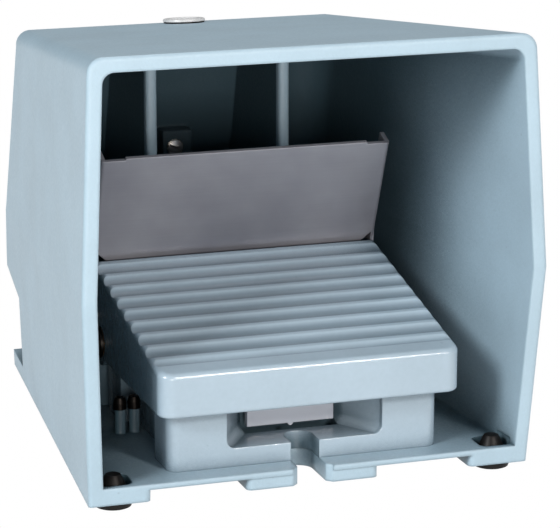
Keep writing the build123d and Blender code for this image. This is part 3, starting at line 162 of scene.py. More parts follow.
@dataclass(frozen=True)
class Finish:
    """A surface finish, built as a procedural material."""

    name: str
    colour: str
    roughness: float
    slot: str

    def material(self) -> bpy.types.Material:
        """Build the material, or give back the one that was built before.

        Returns:
            The material of this finish.
        """
        made = bpy.data.materials.get(self.name)
        if made:
            return made
        made = bpy.data.materials.new(self.name)
        made.use_nodes = True
        tree = made.node_tree
        tree.nodes.clear()
        shader = add_node(tree, "ShaderNodeBsdfPrincipled")
        output = add_node(tree, "ShaderNodeOutputMaterial", {"Surface": shader.outputs["BSDF"]})
        output.is_active_output = True
        place = add_node(tree, "ShaderNodeTexCoord").outputs["Object"]
        self.pattern(tree, place, shader)
        return made

    def pattern(self, tree: bpy.types.NodeTree, place: bpy.types.NodeSocket, shader: bpy.types.Node) -> None:
        """Give the shader its colour, roughness and relief.

        Args:
            tree: The material's tree.
            place: Object coordinates.
            shader: The principled shader.
        """
        shader.inputs["Base Color"].default_value = linear(self.colour)
        shader.inputs["Roughness"].default_value = self.roughness

    def noise(
        self,
        tree: bpy.types.NodeTree,
        place: bpy.types.NodeSocket,
        grain_mm: float,
        detail: float = 3.0,
        weave: Weave = Weave.EVEN,
    ) -> bpy.types.NodeSocket:
        """Noise whose grain is a real size.

        Args:
            tree: The material's tree.
            place: Object coordinates.
            grain_mm: Size of one grain in millimetres.
            detail: Octaves of finer grain.
            weave: Direction in which the grain is drawn out.

        Returns:
            The noise factor, about 0.5 in the mean.
        """
        if weave is not Weave.EVEN:
            stretch = [value / max(weave.value) for value in weave.value]
            place = add_node(tree, "ShaderNodeMapping", {"Vector": place, "Scale": stretch}).outputs["Vector"]
        texture = add_node(
            tree, "ShaderNodeTexNoise", {"Vector": place, "Scale": 1.0 / (grain_mm * MM), "Detail": detail}
        )
        return texture.outputs["Fac"]

    def between(
        self, tree: bpy.types.NodeTree, factor: bpy.types.NodeSocket, low: float, high: float
    ) -> bpy.types.NodeSocket:
        """Spread a noise factor between two values.

        Args:
            tree: The material's tree.
            factor: Factor from noise.
            low: Result at the low end of the noise.
            high: Result at the high end of the noise.

        Returns:
            The spread value.
        """
        return ranged(tree, factor, NOISE_LOW, NOISE_HIGH, low, high)

    def blend(
        self,
        tree: bpy.types.NodeTree,
        factor: bpy.types.NodeSocket,
        low: tuple | bpy.types.NodeSocket,
        high: tuple | bpy.types.NodeSocket,
    ) -> bpy.types.NodeSocket:
        """Mix two colours by a factor.

        Args:
            tree: The material's tree.
            factor: Share of the second colour.
            low: First colour, or a socket that gives it.
            high: Second colour, or a socket that gives it.

        Returns:
            The mixed colour.
        """
        mixed = add_node(tree, "ShaderNodeMix", {"Factor": factor, "A": low, "B": high}, data_type="RGBA")
        return mixed.outputs["Result"]

    def relief(
        self,
        tree: bpy.types.NodeTree,
        height: bpy.types.NodeSocket,
        depth_mm: float,
        strength: float,
        under: bpy.types.NodeSocket | None = None,
    ) -> bpy.types.NodeSocket:
        """Turn a height into a bumped normal.

        Args:
            tree: The material's tree.
            height: Height factor.
            depth_mm: Full depth of the relief in millimetres.
            strength: Share of the relief that shows.
            under: Normal of a coarser relief below this one.

        Returns:
            The bumped normal.
        """
        inputs = {"Height": height, "Distance": depth_mm * MM, "Strength": strength}
        if under is not None:
            inputs["Normal"] = under
        return add_node(tree, "ShaderNodeBump", inputs).outputs["Normal"]


@dataclass(frozen=True)
class CastEnamel(Finish):
    """Enamel on a casting: the sand or die skin shows through as a fine pebble."""

    pebble_mm: float = 1.1
    pebble_depth_mm: float = 0.05
    swell_mm: float = 9.0
    shade: float = 0.05
    edge_mm: float = 0.7
    painted_shade: float = 0.0
    shelter_mm: float = 110.0
    own_walls: bool = True
    open_share: float = 0.55
    shut_share: float = 0.25
    cloud_mm: float = 28.0
    pit_pitch_mm: float = 11.0

    def pattern(self, tree: bpy.types.NodeTree, place: bpy.types.NodeSocket, shader: bpy.types.Node) -> None:
        """Pebbled skin, soft cloudy tone, small dark pits and painted shade where the surface is sheltered."""
        cloud = self.noise(tree, place, self.cloud_mm, 4.0)
        pebble = self.noise(tree, place, self.pebble_mm, 5.0)
        swell = self.noise(tree, place, self.swell_mm, 2.0)
        tone = self.blend(
            tree,
            self.between(tree, cloud, 0.0, 1.0),
            linear(self.colour, 1.0 - self.shade),
            linear(self.colour, 1.0 + self.shade),
        )
        grain = self.between(tree, pebble, 0.0, 1.0)
        tone = self.blend(tree, self.between(tree, pebble, 0.08, 0.0), tone, linear(self.colour, 0.55))
        pit = add_node(tree, "ShaderNodeTexVoronoi", {"Vector": place, "Scale": 1.0 / (self.pit_pitch_mm * MM)})
        pit_mask = ranged(tree, pit.outputs["Distance"], 0.05, 0.03, 0.0, 0.2)
        tone = self.blend(tree, pit_mask, tone, linear(self.colour, 0.4))
        # Painted shade: where ambient occlusion finds the surface sheltered, the tone darkens towards the painted
        # shade colour.
        if self.painted_shade:
            shelter = add_node(
                tree,
                "ShaderNodeAmbientOcclusion",
                {"Distance": self.shelter_mm * MM},
                samples=8,
                only_local=self.own_walls,
            )
            shade_amount = self.painted_shade_share(tree, place)
            inside = ranged(tree, shelter.outputs["AO"], self.open_share, self.shut_share, 0.0, shade_amount)
            tone = self.blend(tree, inside, tone, linear(*PAINTED_SHADE_COLOUR))
        rough = self.between(tree, pebble, self.roughness + 0.06, self.roughness - 0.05)
        edge = add_node(tree, "ShaderNodeBevel", {"Radius": self.edge_mm * MM}, samples=6)
        normal = self.relief(tree, swell, 0.5, 0.35, edge.outputs["Normal"])
        normal = self.relief(tree, grain, self.pebble_depth_mm, 0.7, normal)
        tree.links.new(tone, shader.inputs["Base Color"])
        tree.links.new(rough, shader.inputs["Roughness"])
        tree.links.new(normal, shader.inputs["Normal"])
        shader.inputs["IOR"].default_value = PAINT_IOR

    def painted_shade_share(self, tree: bpy.types.NodeTree, place: bpy.types.NodeSocket) -> float | bpy.types.NodeSocket:
        """Share of painted shade where the shelter is deepest.

        Args:
            tree: The material's tree.
            place: Object coordinates.

        Returns:
            The share, or a socket that gives it.
        """
        return self.painted_shade


@dataclass(frozen=True)
class HoodEnamel(CastEnamel):
    """Enamel of the hood with painted shade inside, left off the front edges of the two webs so that these read as
    lit.
    """

    web_offset: float = 24.8
    web_middle: float = 0.4
    web_half: float = 2.4
    web_front: float = 104.0
    web_reach: float = 5.0

    def painted_shade_share(self, tree: bpy.types.NodeTree, place: bpy.types.NodeSocket) -> float | bpy.types.NodeSocket:
        """The same share everywhere but on the webs' front edges."""
        split = add_node(tree, "ShaderNodeSeparateXYZ", {"Vector": place})
        span = maths(tree, "ABSOLUTE", maths(tree, "SUBTRACT", split.outputs["X"], self.web_middle * MM))
        on_web = maths(tree, "COMPARE", span, self.web_offset * MM, self.web_half * MM)
        half_reach = self.web_reach / 2
        edge = (FRONT_EDGE_Y + self.web_front + half_reach) * MM
        at_front = maths(tree, "COMPARE", split.outputs["Y"], edge, half_reach * MM)
        return ranged(tree, maths(tree, "MULTIPLY", on_web, at_front), 0.0, 1.0, self.painted_shade, 0.0)


@dataclass(frozen=True)
class TreadEnamel(CastEnamel):
    """Enamel on the tread, with dirt and painted shade in the grooves between the ribs and a tongue worn bare."""

    groove_start: float = 17.2
    groove_pitch: float = 8.72
    tread_front: float = 13.0
    tongue_back: float = 28.0
    tongue_top: float = 26.0
    dirt_and_shade_edge: float = 3.3
    dirt_and_shade_core: float = 1.4
    dirt_and_shade_share: float = 0.5
    level_range: tuple[float, float] = (0.3, 0.7)

    def pattern(self, tree: bpy.types.NodeTree, place: bpy.types.NodeSocket, shader: bpy.types.Node) -> None:
        """Enamel pattern with dirt and painted shade along each groove and a bare tongue."""
        CastEnamel.pattern(self, tree, place, shader)
        split = add_node(tree, "ShaderNodeSeparateXYZ", {"Vector": place})
        along, up = split.outputs["Y"], split.outputs["Z"]
        # Dirt and painted shade: up-facing faces behind the front band darken along the middle of each groove.
        turns = maths(tree, "ADD", along, -(FRONT_EDGE_Y + self.groove_start - self.groove_pitch / 2) * MM)
        phase = maths(tree, "FLOORED_MODULO", turns, self.groove_pitch * MM)
        near = maths(tree, "ABSOLUTE", maths(tree, "SUBTRACT", phase, self.groove_pitch / 2 * MM))
        groove = ranged(tree, near, self.dirt_and_shade_edge * MM, self.dirt_and_shade_core * MM, 0.0, self.dirt_and_shade_share)
        normal = add_node(tree, "ShaderNodeNewGeometry").outputs["Normal"]
        facing = add_node(tree, "ShaderNodeSeparateXYZ", {"Vector": normal})
        upward = ranged(tree, facing.outputs["Z"], *self.level_range)
        behind = maths(tree, "GREATER_THAN", along, (FRONT_EDGE_Y + self.tread_front) * MM)
        amount = maths(tree, "MULTIPLY", maths(tree, "MULTIPLY", groove, upward), behind)
        clean = shader.inputs["Base Color"].links[0].from_socket
        dirty_and_shaded = self.blend(tree, amount, clean, linear(*GROOVE_DIRT_AND_SHADE))
        before = maths(tree, "LESS_THAN", along, (FRONT_EDGE_Y + self.tongue_back) * MM)
        below = maths(tree, "LESS_THAN", up, (UNDERSIDE_Z + self.tongue_top) * MM)
        bare = self.blend(tree, maths(tree, "MULTIPLY", before, below), dirty_and_shaded, linear(WORN_METAL))
        tree.links.new(bare, shader.inputs["Base Color"])


@dataclass(frozen=True)
class WorkedMetal(Finish):
    """Bare or plated metal with the lines that its making left."""

    weave: Weave = Weave.EVEN
    line_mm: float = 12.0
    line_depth_mm: float = 0.01
    tarnish: str = "#5A554E"
    tarnish_share: float = 0.12
    anisotropic: float = 0.0
    metallic: float = 1.0
    edge_mm: float = 0.2
    smudge: str = "#5A5F6E"
    smudge_share: float = 0.0
    tarnish_mm: float = 14.0
    smudge_mm: float = 45.0

    def pattern(self, tree: bpy.types.NodeTree, place: bpy.types.NodeSocket, shader: bpy.types.Node) -> None:
        """Fine lines in relief and gloss, with a thin uneven tarnish."""
        lines = self.noise(tree, place, self.line_mm, 6.0, self.weave)
        cloud = self.noise(tree, place, self.tarnish_mm, 4.0)
        tone = self.blend(
            tree, self.between(tree, lines, 0.0, 1.0), linear(self.colour, 0.96), linear(self.colour, 1.04)
        )
        dull = self.between(tree, cloud, 0.0, self.tarnish_share)
        tone = self.blend(tree, dull, tone, linear(self.tarnish))
        smear = self.noise(tree, place, self.smudge_mm, 3.0)
        tone = self.blend(tree, self.between(tree, smear, self.smudge_share, 0.0), tone, linear(self.smudge))
        rough = self.between(tree, lines, self.roughness - 0.06, self.roughness + 0.08)
        tree.links.new(tone, shader.inputs["Base Color"])
        tree.links.new(rough, shader.inputs["Roughness"])
        edge = add_node(tree, "ShaderNodeBevel", {"Radius": self.edge_mm * MM}, samples=6)
        normal = self.relief(tree, lines, self.line_depth_mm, 0.5, edge.outputs["Normal"])
        tree.links.new(normal, shader.inputs["Normal"])
        shader.inputs["Metallic"].default_value = self.metallic
        shader.inputs["Anisotropic"].default_value = self.anisotropic


@dataclass(frozen=True)
class Moulded(Finish):
    """Moulded plastic or rubber with a fine tool grain and a little dust."""

    grain_mm: float = 0.6
    grain_depth_mm: float = 0.03
    dust: str = "#6E6A64"
    dust_share: float = 0.1
    gleam: float = 0.5
    dust_mm: float = 6.0

    def pattern(self, tree: bpy.types.NodeTree, place: bpy.types.NodeSocket, shader: bpy.types.Node) -> None:
        """Grain in relief and dust in the tone."""
        grain = self.noise(tree, place, self.grain_mm, 3.0)
        cloud = self.noise(tree, place, self.dust_mm, 4.0)
        tone = self.blend(
            tree, self.between(tree, grain, 0.0, 1.0), linear(self.colour, 0.9), linear(self.colour, 1.1)
        )
        tone = self.blend(tree, self.between(tree, cloud, 0.0, self.dust_share), tone, linear(self.dust))
        tree.links.new(tone, shader.inputs["Base Color"])
        rough = self.between(tree, cloud, self.roughness - 0.05, self.roughness + 0.08)
        tree.links.new(rough, shader.inputs["Roughness"])
        tree.links.new(self.relief(tree, grain, self.grain_depth_mm, 0.6), shader.inputs["Normal"])
        shader.inputs["Specular IOR Level"].default_value = self.gleam


# Stoving enamel on a sand casting: pebbled, cool grey-blue, half gloss, with painted shade inside the hood
HOOD_ENAMEL = HoodEnamel(
    "stoved_enamel_on_casting",
    "#9FB8C7",
    0.42,
    "hood_paint",
    edge_mm=1.6,
    painted_shade=0.94,
    open_share=0.78,
    shut_share=0.48,
)
# The same enamel on a smoother die casting: calmer skin, clearer highlights, and painted shade in its window and under
# the pedal
HOUSING_ENAMEL = CastEnamel(
    "satin_enamel_on_die_casting",
    "#9EB2C0",
    0.17,
    "housing_paint",
    pebble_mm=1.8,
    pebble_depth_mm=0.02,
    swell_mm=14.0,
    painted_shade=0.85,
    shelter_mm=24.0,
    own_walls=False,
    open_share=0.66,
    shut_share=0.42,
)
# Satin enamel of the tread, with painted shade where the flap and hood shelter it, and dirt and painted shade in its
# grooves
TREAD_ENAMEL = TreadEnamel(
    "satin_enamel_tread",
    "#9EB2C0",
    0.17,
    "pedal_paint",
    pebble_mm=1.8,
    pebble_depth_mm=0.02,
    swell_mm=14.0,
    painted_shade=0.85,
    shelter_mm=45.0,
    own_walls=False,
    open_share=0.48,
    shut_share=0.22,
)
# Stainless sheet brushed across: long soft streaks, a cool grey sheen and bluish smudges
BRUSHED_SHEET = WorkedMetal(
    "brushed_stainless_sheet",
    "#A9ABB3",
    0.44,
    "stainless_sheet",
    weave=Weave.ACROSS,
    line_mm=0.5,
    line_depth_mm=0.004,
    tarnish="#77747A",
    tarnish_share=0.14,
    anisotropic=0.4,
    metallic=0.6,
    edge_mm=0.4,
    smudge_share=0.45,
)
# Zinc plating on small steel pieces: bright, a little cloudy
ZINC_PLATE = WorkedMetal("zinc_plated_steel", "#C9C8C2", 0.26, "zinc_steel", line_mm=0.7, tarnish="#8A8577")
# Earthing screw head, near white and satin: painted light, lighter than the zinc of the other screws so that its dome
# and slot read bright in the shade of the hood
LIGHTENED_SCREW_HEAD = WorkedMetal("lightened_screw_head", "#F6F2F0", 0.34, "zinc_steel", line_depth_mm=0.0005, metallic=0.75)
# Black oxide on the post screws and the flap's rings, nearly black with a low gleam; on the pedal shaft and its rings
# the same near black is painted shade, where they sit in the hood's shadow
BLACK_OXIDE_AND_SHADE = WorkedMetal("black_oxide_and_shade_steel", "#2A2826", 0.38, "dark_steel", line_mm=0.8, tarnish="#1A1512")
# Ground steel of the flap axle: fine rings round it catch the light as thin lines
GROUND_STEEL = WorkedMetal(
    "ground_shaft_steel", "#BDBDBD", 0.22, "shaft_steel", weave=Weave.AROUND_X, line_mm=6.0, line_depth_mm=0.006
)
# Drawn spring wire: dull grey with an oily gleam
DRAWN_WIRE = WorkedMetal("drawn_spring_wire", "#8E8C88", 0.33, "spring_steel", line_mm=0.5)
# Nickel on brass: warm white metal of the gland
NICKEL_PLATE = WorkedMetal("nickel_plated_brass", "#C8C3B4", 0.24, "nickel_brass", line_mm=0.8, tarnish="#8C8061")
# Turned brass of the terminals: yellow, with fine tool lines
TURNED_BRASS = WorkedMetal("turned_brass", "#D6B45E", 0.3, "terminal_brass", line_mm=0.6, tarnish="#7C5F2A")
# Sintered bronze: matt with open pores
SINTERED_BRONZE = WorkedMetal(
    "sintered_bronze", "#B08850", 0.48, "bush_bronze", line_mm=0.35, line_depth_mm=0.05, tarnish="#5C4020"
)
# Moulded rubber of feet and seals: black-brown, matt, dusty
FOOT_RUBBER = Moulded("moulded_rubber", "#090707", 0.45, "black_rubber", dust_share=0.02, gleam=0.25)
# Pale moulded plastic of the plug: soft gleam and a little dust
PLUG_PLASTIC = Moulded("pale_moulded_plastic", "#D3D6D8", 0.32, "plug_plastic", grain_mm=0.4, dust_share=0.18)
# Black glass-filled nylon of the lid, and phenolic of the blocks: matt with a fine grain
NYLON_LID = Moulded("glass_filled_nylon", "#2B2C2E", 0.5, "lid_plastic", grain_mm=0.5)
BLOCK_PHENOLIC = Moulded("black_phenolic", "#26262A", 0.42, "block_plastic", grain_mm=0.5)
# White acetal of the plungers: slightly waxy
PLUNGER_ACETAL = Moulded("turned_acetal", "#E2E0D8", 0.3, "plunger_plastic", grain_mm=0.5, dust_share=0.05)


def paint(node_name: str, finish: Finish) -> None:
    """Give a carried-over CAD node its finish.

    Args:
        node_name: Name of the node.
        finish: Finish that it takes.
    """
    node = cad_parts[node_name]
    if not node.data.materials:
        node.data.materials.append(None)
    for index in range(len(node.material_slots)):
        node.material_slots[index].material = finish.material()
    LOG.info("node %s: %s", node_name, finish.name)


def seat_piece(piece: bpy.types.Object, body: str, finish: Finish, stands_for: tuple[str, ...]) -> None:
    """Tie a finished piece to its body and the nodes it stands for.

    Args:
        piece: The finished piece, at the origin.
        body: Body that carries it.
        finish: Not used.
        stands_for: Nodes that it hides.
    """
    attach(piece, body)
    if stands_for:
        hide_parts(*stands_for)
    LOG.info("piece %s on %s: %d faces", piece.name, body, len(piece.data.polygons))


def turned_rings(profile: tuple[tuple[float, float], ...], steps: int) -> tuple[list[Vector], list[tuple[int, ...]]]:
    """Points and faces of a closed turned form about Z.

    Args:
        profile: Radius and height pairs in millimetres, from the axis and back to it.
        steps: Number of sides.

    Returns:
        The points in metres and the faces as index tuples.
    """
    points: list[Vector] = [Vector((0, 0, profile[0][1])) * MM]
    inner = profile[1:-1]
    for radius, height in inner:
        for step in range(steps):
            turn = math.tau * step / steps
            points.append(Vector((radius * math.cos(turn), radius * math.sin(turn), height)) * MM)
    points.append(Vector((0, 0, profile[-1][1])) * MM)
    faces: list[tuple[int, ...]] = []
    last = len(points) - 1
    for step in range(steps):
        after = (step + 1) % steps
        faces.append((0, 1 + step, 1 + after))
        for ring in range(len(inner) - 1):
            low, high = 1 + ring * steps, 1 + (ring + 1) * steps
            faces.append((low + step, high + step, high + after, low + after))
        top = 1 + (len(inner) - 1) * steps
        faces.append((top + step, last, top + after))
    return points, faces


def mesh_piece(
    name: str, points: list[Vector], faces: list[tuple[int, ...]], finish: Finish, smooth_degrees: float = 35.0
) -> bpy.types.Object:
    """Make an object of points and faces with outward normals.

    Args:
        name: Name of the piece.
        points: Points in the shared frame.
        faces: Faces as index tuples.
        finish: Finish that it takes.
        smooth_degrees: Faces that meet at less than this are shaded smooth.

    Returns:
        The new object at the origin.
    """
    mesh = bpy.data.meshes.new(name)
    mesh.from_pydata(points, [], faces)
    work = bmesh.new()
    work.from_mesh(mesh)
    bmesh.ops.remove_doubles(work, verts=work.verts, dist=MERGE_REACH)
    bmesh.ops.recalc_face_normals(work, faces=work.faces)
    work.to_mesh(mesh)
    work.free()
    mesh.materials.append(finish.material())
    mesh.shade_smooth()
    mesh.set_sharp_from_angle(angle=math.radians(smooth_degrees))
    piece = bpy.data.objects.new(name, mesh)
    bpy.context.scene.collection.objects.link(piece)
    return piece


class Recess(Enum):
    """Drive recess of a screw head."""

    SLOT = False
    CROSS = True


class ScrewTree:
    """Geometry tree that sets the same screw on every point."""

    head_sides = 32
    shank_sides = 16
    rim_share = 0.55
    crown_share = 0.45
    crown_top = 0.74
    dome_rings = 5
    dome_share = 0.65

    def __init__(self) -> None:
        """Start the tree and name its sizes."""
        self.tree = bpy.data.node_groups.new("screw_set", "GeometryNodeTree")
        face = self.tree.interface
        face.new_socket(name="Geometry", in_out="OUTPUT", socket_type="NodeSocketGeometry")
        self.identifiers: dict[str, str] = {}
        for label, kind in (
            ("Points", "NodeSocketGeometry"),
            ("Head Radius", "NodeSocketFloat"),
            ("Head Height", "NodeSocketFloat"),
            ("Slot Width", "NodeSocketFloat"),
            ("Slot Depth", "NodeSocketFloat"),
            ("Slot Length", "NodeSocketFloat"),
            ("Cross", "NodeSocketBool"),
            ("Dome", "NodeSocketBool"),
            ("Shank Radius", "NodeSocketFloat"),
            ("Shank Length", "NodeSocketFloat"),
            ("Direction", "NodeSocketVector"),
            ("Seed", "NodeSocketInt"),
            ("Finish", "NodeSocketMaterial"),
        ):
            socket = face.new_socket(name=label, in_out="INPUT", socket_type=kind)
            self.identifiers[label] = socket.identifier
        self.grow()

    def grow(self) -> None:
        """Build head, recess and shank and put them on the points."""
        tree = self.tree
        given = add_node(tree, "NodeGroupInput").outputs
        half_head = self.maths("MULTIPLY", given["Head Height"], self.rim_share)
        rim = add_node(
            tree,
            "GeometryNodeMeshCylinder",
            {"Vertices": self.head_sides, "Radius": given["Head Radius"], "Depth": half_head},
        )
        rim_up = self.lifted(rim.outputs["Mesh"], self.maths("MULTIPLY", half_head, 0.5))
        raised = self.crown(given, half_head, self.dome_rings)
        domed = self.domed(raised, half_head, given["Head Radius"], given["Head Height"])
        crown_up = add_node(
            tree,
            "GeometryNodeSwitch",
            {"Switch": given["Dome"], "False": self.crown(given, half_head, 1), "True": domed},
        ).outputs["Output"]
        shank = add_node(
            tree,
            "GeometryNodeMeshCylinder",
            {"Vertices": self.shank_sides, "Radius": given["Shank Radius"], "Depth": given["Shank Length"]},
        )
        shank_down = self.lifted(shank.outputs["Mesh"], self.maths("MULTIPLY", given["Shank Length"], -0.5))
        slot = self.bar(given["Slot Length"], given["Slot Width"], given["Slot Depth"], given["Head Height"])
        cross = self.bar(given["Slot Width"], given["Slot Length"], given["Slot Depth"], given["Head Height"])
        crossed = add_node(tree, "GeometryNodeSwitch", {"Switch": given["Cross"], "True": cross})
        halves: list[bpy.types.NodeSocket] = []
        for half in (crown_up, rim_up):
            cut = add_node(tree, "GeometryNodeMeshBoolean", {"Mesh 1": half}, operation="DIFFERENCE")
            for bar in (slot, crossed.outputs["Output"]):
                tree.links.new(bar, cut.inputs["Mesh 2"])
            halves.append(cut.outputs["Mesh"])
        whole = add_node(tree, "GeometryNodeJoinGeometry")
        for part in (*halves, shank_down):
            tree.links.new(part, whole.inputs["Geometry"])
        turn = add_node(
            tree,
            "FunctionNodeRandomValue",
            {"Min": 0.0, "Max": math.pi, "Seed": given["Seed"]},
            data_type="FLOAT",
        )
        spun = add_node(tree, "FunctionNodeAxisAngleToRotation", {"Angle": turn.outputs["Value"]})
        aimed = add_node(tree, "FunctionNodeAlignRotationToVector", {"Vector": given["Direction"]}, axis="Z")
        facing = add_node(
            tree,
            "FunctionNodeRotateRotation",
            {"Rotation": aimed.outputs[0], "Rotate By": spun.outputs[0]},
            rotation_space="LOCAL",
        )
        dots = add_node(tree, "GeometryNodeMeshToPoints", {"Mesh": given["Points"]})
        placed = add_node(
            tree,
            "GeometryNodeInstanceOnPoints",
            {
                "Points": dots.outputs["Points"],
                "Instance": whole.outputs["Geometry"],
                "Rotation": facing.outputs[0],
            },
        )
        real = add_node(tree, "GeometryNodeRealizeInstances", {"Geometry": placed.outputs["Instances"]})
        dressed = add_node(
            tree, "GeometryNodeSetMaterial", {"Geometry": real.outputs["Geometry"], "Material": given["Finish"]}
        )
        add_node(tree, "NodeGroupOutput", {"Geometry": dressed.outputs["Geometry"]})

    def maths(
        self, operation: str, first: bpy.types.NodeSocket, second: float | bpy.types.NodeSocket
    ) -> bpy.types.NodeSocket:
        """Result of one sum on a size."""
        return maths(self.tree, operation, first, second)

    def lifted(self, mesh: bpy.types.NodeSocket, height: bpy.types.NodeSocket) -> bpy.types.NodeSocket:
        """The mesh moved up by a height."""
        move = add_node(self.tree, "ShaderNodeCombineXYZ", {"Z": height})
        placed = add_node(self.tree, "GeometryNodeTransform", {"Geometry": mesh, "Translation": move.outputs[0]})
        return placed.outputs["Geometry"]

    def crown(
        self, given: bpy.types.bpy_prop_collection, foot: bpy.types.NodeSocket, rings: int
    ) -> bpy.types.NodeSocket:
        """The upper part of the head, flat on top, with so many rings of faces there."""
        cone = add_node(
            self.tree,
            "GeometryNodeMeshCone",
            {
                "Vertices": self.head_sides,
                "Fill Segments": rings,
                "Radius Top": self.maths("MULTIPLY", given["Head Radius"], self.crown_top),
                "Radius Bottom": given["Head Radius"],
                "Depth": self.maths("MULTIPLY", given["Head Height"], self.crown_share),
            },
        )
        return self.lifted(cone.outputs["Mesh"], foot)

    def domed(
        self,
        mesh: bpy.types.NodeSocket,
        foot: bpy.types.NodeSocket,
        radius: bpy.types.NodeSocket,
        height: bpy.types.NodeSocket,
    ) -> bpy.types.NodeSocket:
        """A flat crown lowered towards its rim, so that it becomes a low dome."""
        axes = add_node(
            self.tree,
            "ShaderNodeSeparateXYZ",
            {"Vector": add_node(self.tree, "GeometryNodeInputPosition").outputs["Position"]},
        ).outputs
        flat = add_node(self.tree, "ShaderNodeCombineXYZ", {"X": axes["X"], "Y": axes["Y"]})
        away = add_node(self.tree, "ShaderNodeVectorMath", {0: flat.outputs[0]}, operation="LENGTH")
        share = self.maths("POWER", self.maths("DIVIDE", away.outputs["Value"], radius), 2.0)
        rise = self.maths("SUBTRACT", axes["Z"], foot)
        bulge = self.maths("MULTIPLY", self.maths("DIVIDE", radius, height), -self.dome_share)
        drop = self.maths("MULTIPLY", self.maths("MULTIPLY", rise, share), bulge)
        move = add_node(self.tree, "ShaderNodeCombineXYZ", {"Z": drop})
        placed = add_node(self.tree, "GeometryNodeSetPosition", {"Geometry": mesh, "Offset": move.outputs[0]})
        return placed.outputs["Geometry"]

    def bar(
        self,
        length: bpy.types.NodeSocket,
        width: bpy.types.NodeSocket,
        depth: bpy.types.NodeSocket,
        height: bpy.types.NodeSocket,
    ) -> bpy.types.NodeSocket:
        """A bar that cuts a slot as deep as given from the top of the head."""
        size = add_node(
            self.tree, "ShaderNodeCombineXYZ", {"X": length, "Y": width, "Z": self.maths("MULTIPLY", depth, 2.0)}
        )
        cube = add_node(self.tree, "GeometryNodeMeshCube", {"Size": size.outputs[0]})
        return self.lifted(cube.outputs["Mesh"], height)


@dataclass
class ScrewSet:
    """Equal screws of one group, made by the screw tree."""

    name: str
    seats: list[Vector]
    direction: tuple[float, float, float]
    finish: Finish
    head_radius: float = 2.8
    head_height: float = 1.6
    shank_radius: float = 1.5
    shank_length: float = 8.0
    slot_width: float = 0.8
    slot_depth: float = 0.7
    slot_length: float = 8.0
    recess: Recess = Recess.SLOT
    dome: bool = False
    seed: int = 3
    smooth_degrees: float = 30.0

    def build(self, tree: ScrewTree, body: str, node: str) -> bpy.types.Object:
        """Make the screws as one plain mesh.

        Args:
            tree: Tree that places and shapes them.
            body: Body that carries them.
            node: Node that they stand for.

        Returns:
            The finished piece.
        """
        dots = bpy.data.meshes.new(self.name + "_seats")
        dots.from_pydata(self.seats, [], [])
        holder = bpy.data.objects.new(self.name + "_seats", dots)
        bpy.context.scene.collection.objects.link(holder)
        grown = holder.modifiers.new("screws", "NODES")
        grown.node_group = tree.tree
        values = {
            "Head Radius": self.head_radius * MM,
            "Head Height": self.head_height * MM,
            "Slot Width": self.slot_width * MM,
            "Slot Depth": self.slot_depth * MM,
            "Slot Length": self.slot_length * MM,
            "Cross": self.recess.value,
            "Dome": self.dome,
            "Shank Radius": self.shank_radius * MM,
            "Shank Length": self.shank_length * MM,
            "Direction": self.direction,
            "Seed": self.seed,
            "Finish": self.finish.material(),
        }
        for label, value in values.items():
            grown[tree.identifiers[label]] = value
        bpy.context.view_layer.update()
        depsgraph = bpy.context.evaluated_depsgraph_get()
        plain = bpy.data.meshes.new_from_object(holder.evaluated_get(depsgraph))
        bpy.data.objects.remove(holder)
        plain.name = self.name
        work = bmesh.new()
        work.from_mesh(plain)
        bmesh.ops.remove_doubles(work, verts=work.verts, dist=MERGE_REACH)
        work.to_mesh(plain)
        work.free()
        plain.shade_smooth()
        plain.set_sharp_from_angle(angle=math.radians(self.smooth_degrees))
        piece = bpy.data.objects.new(self.name, plain)
        bpy.context.scene.collection.objects.link(piece)
        seat_piece(piece, body, self.finish, (node,))
        return piece


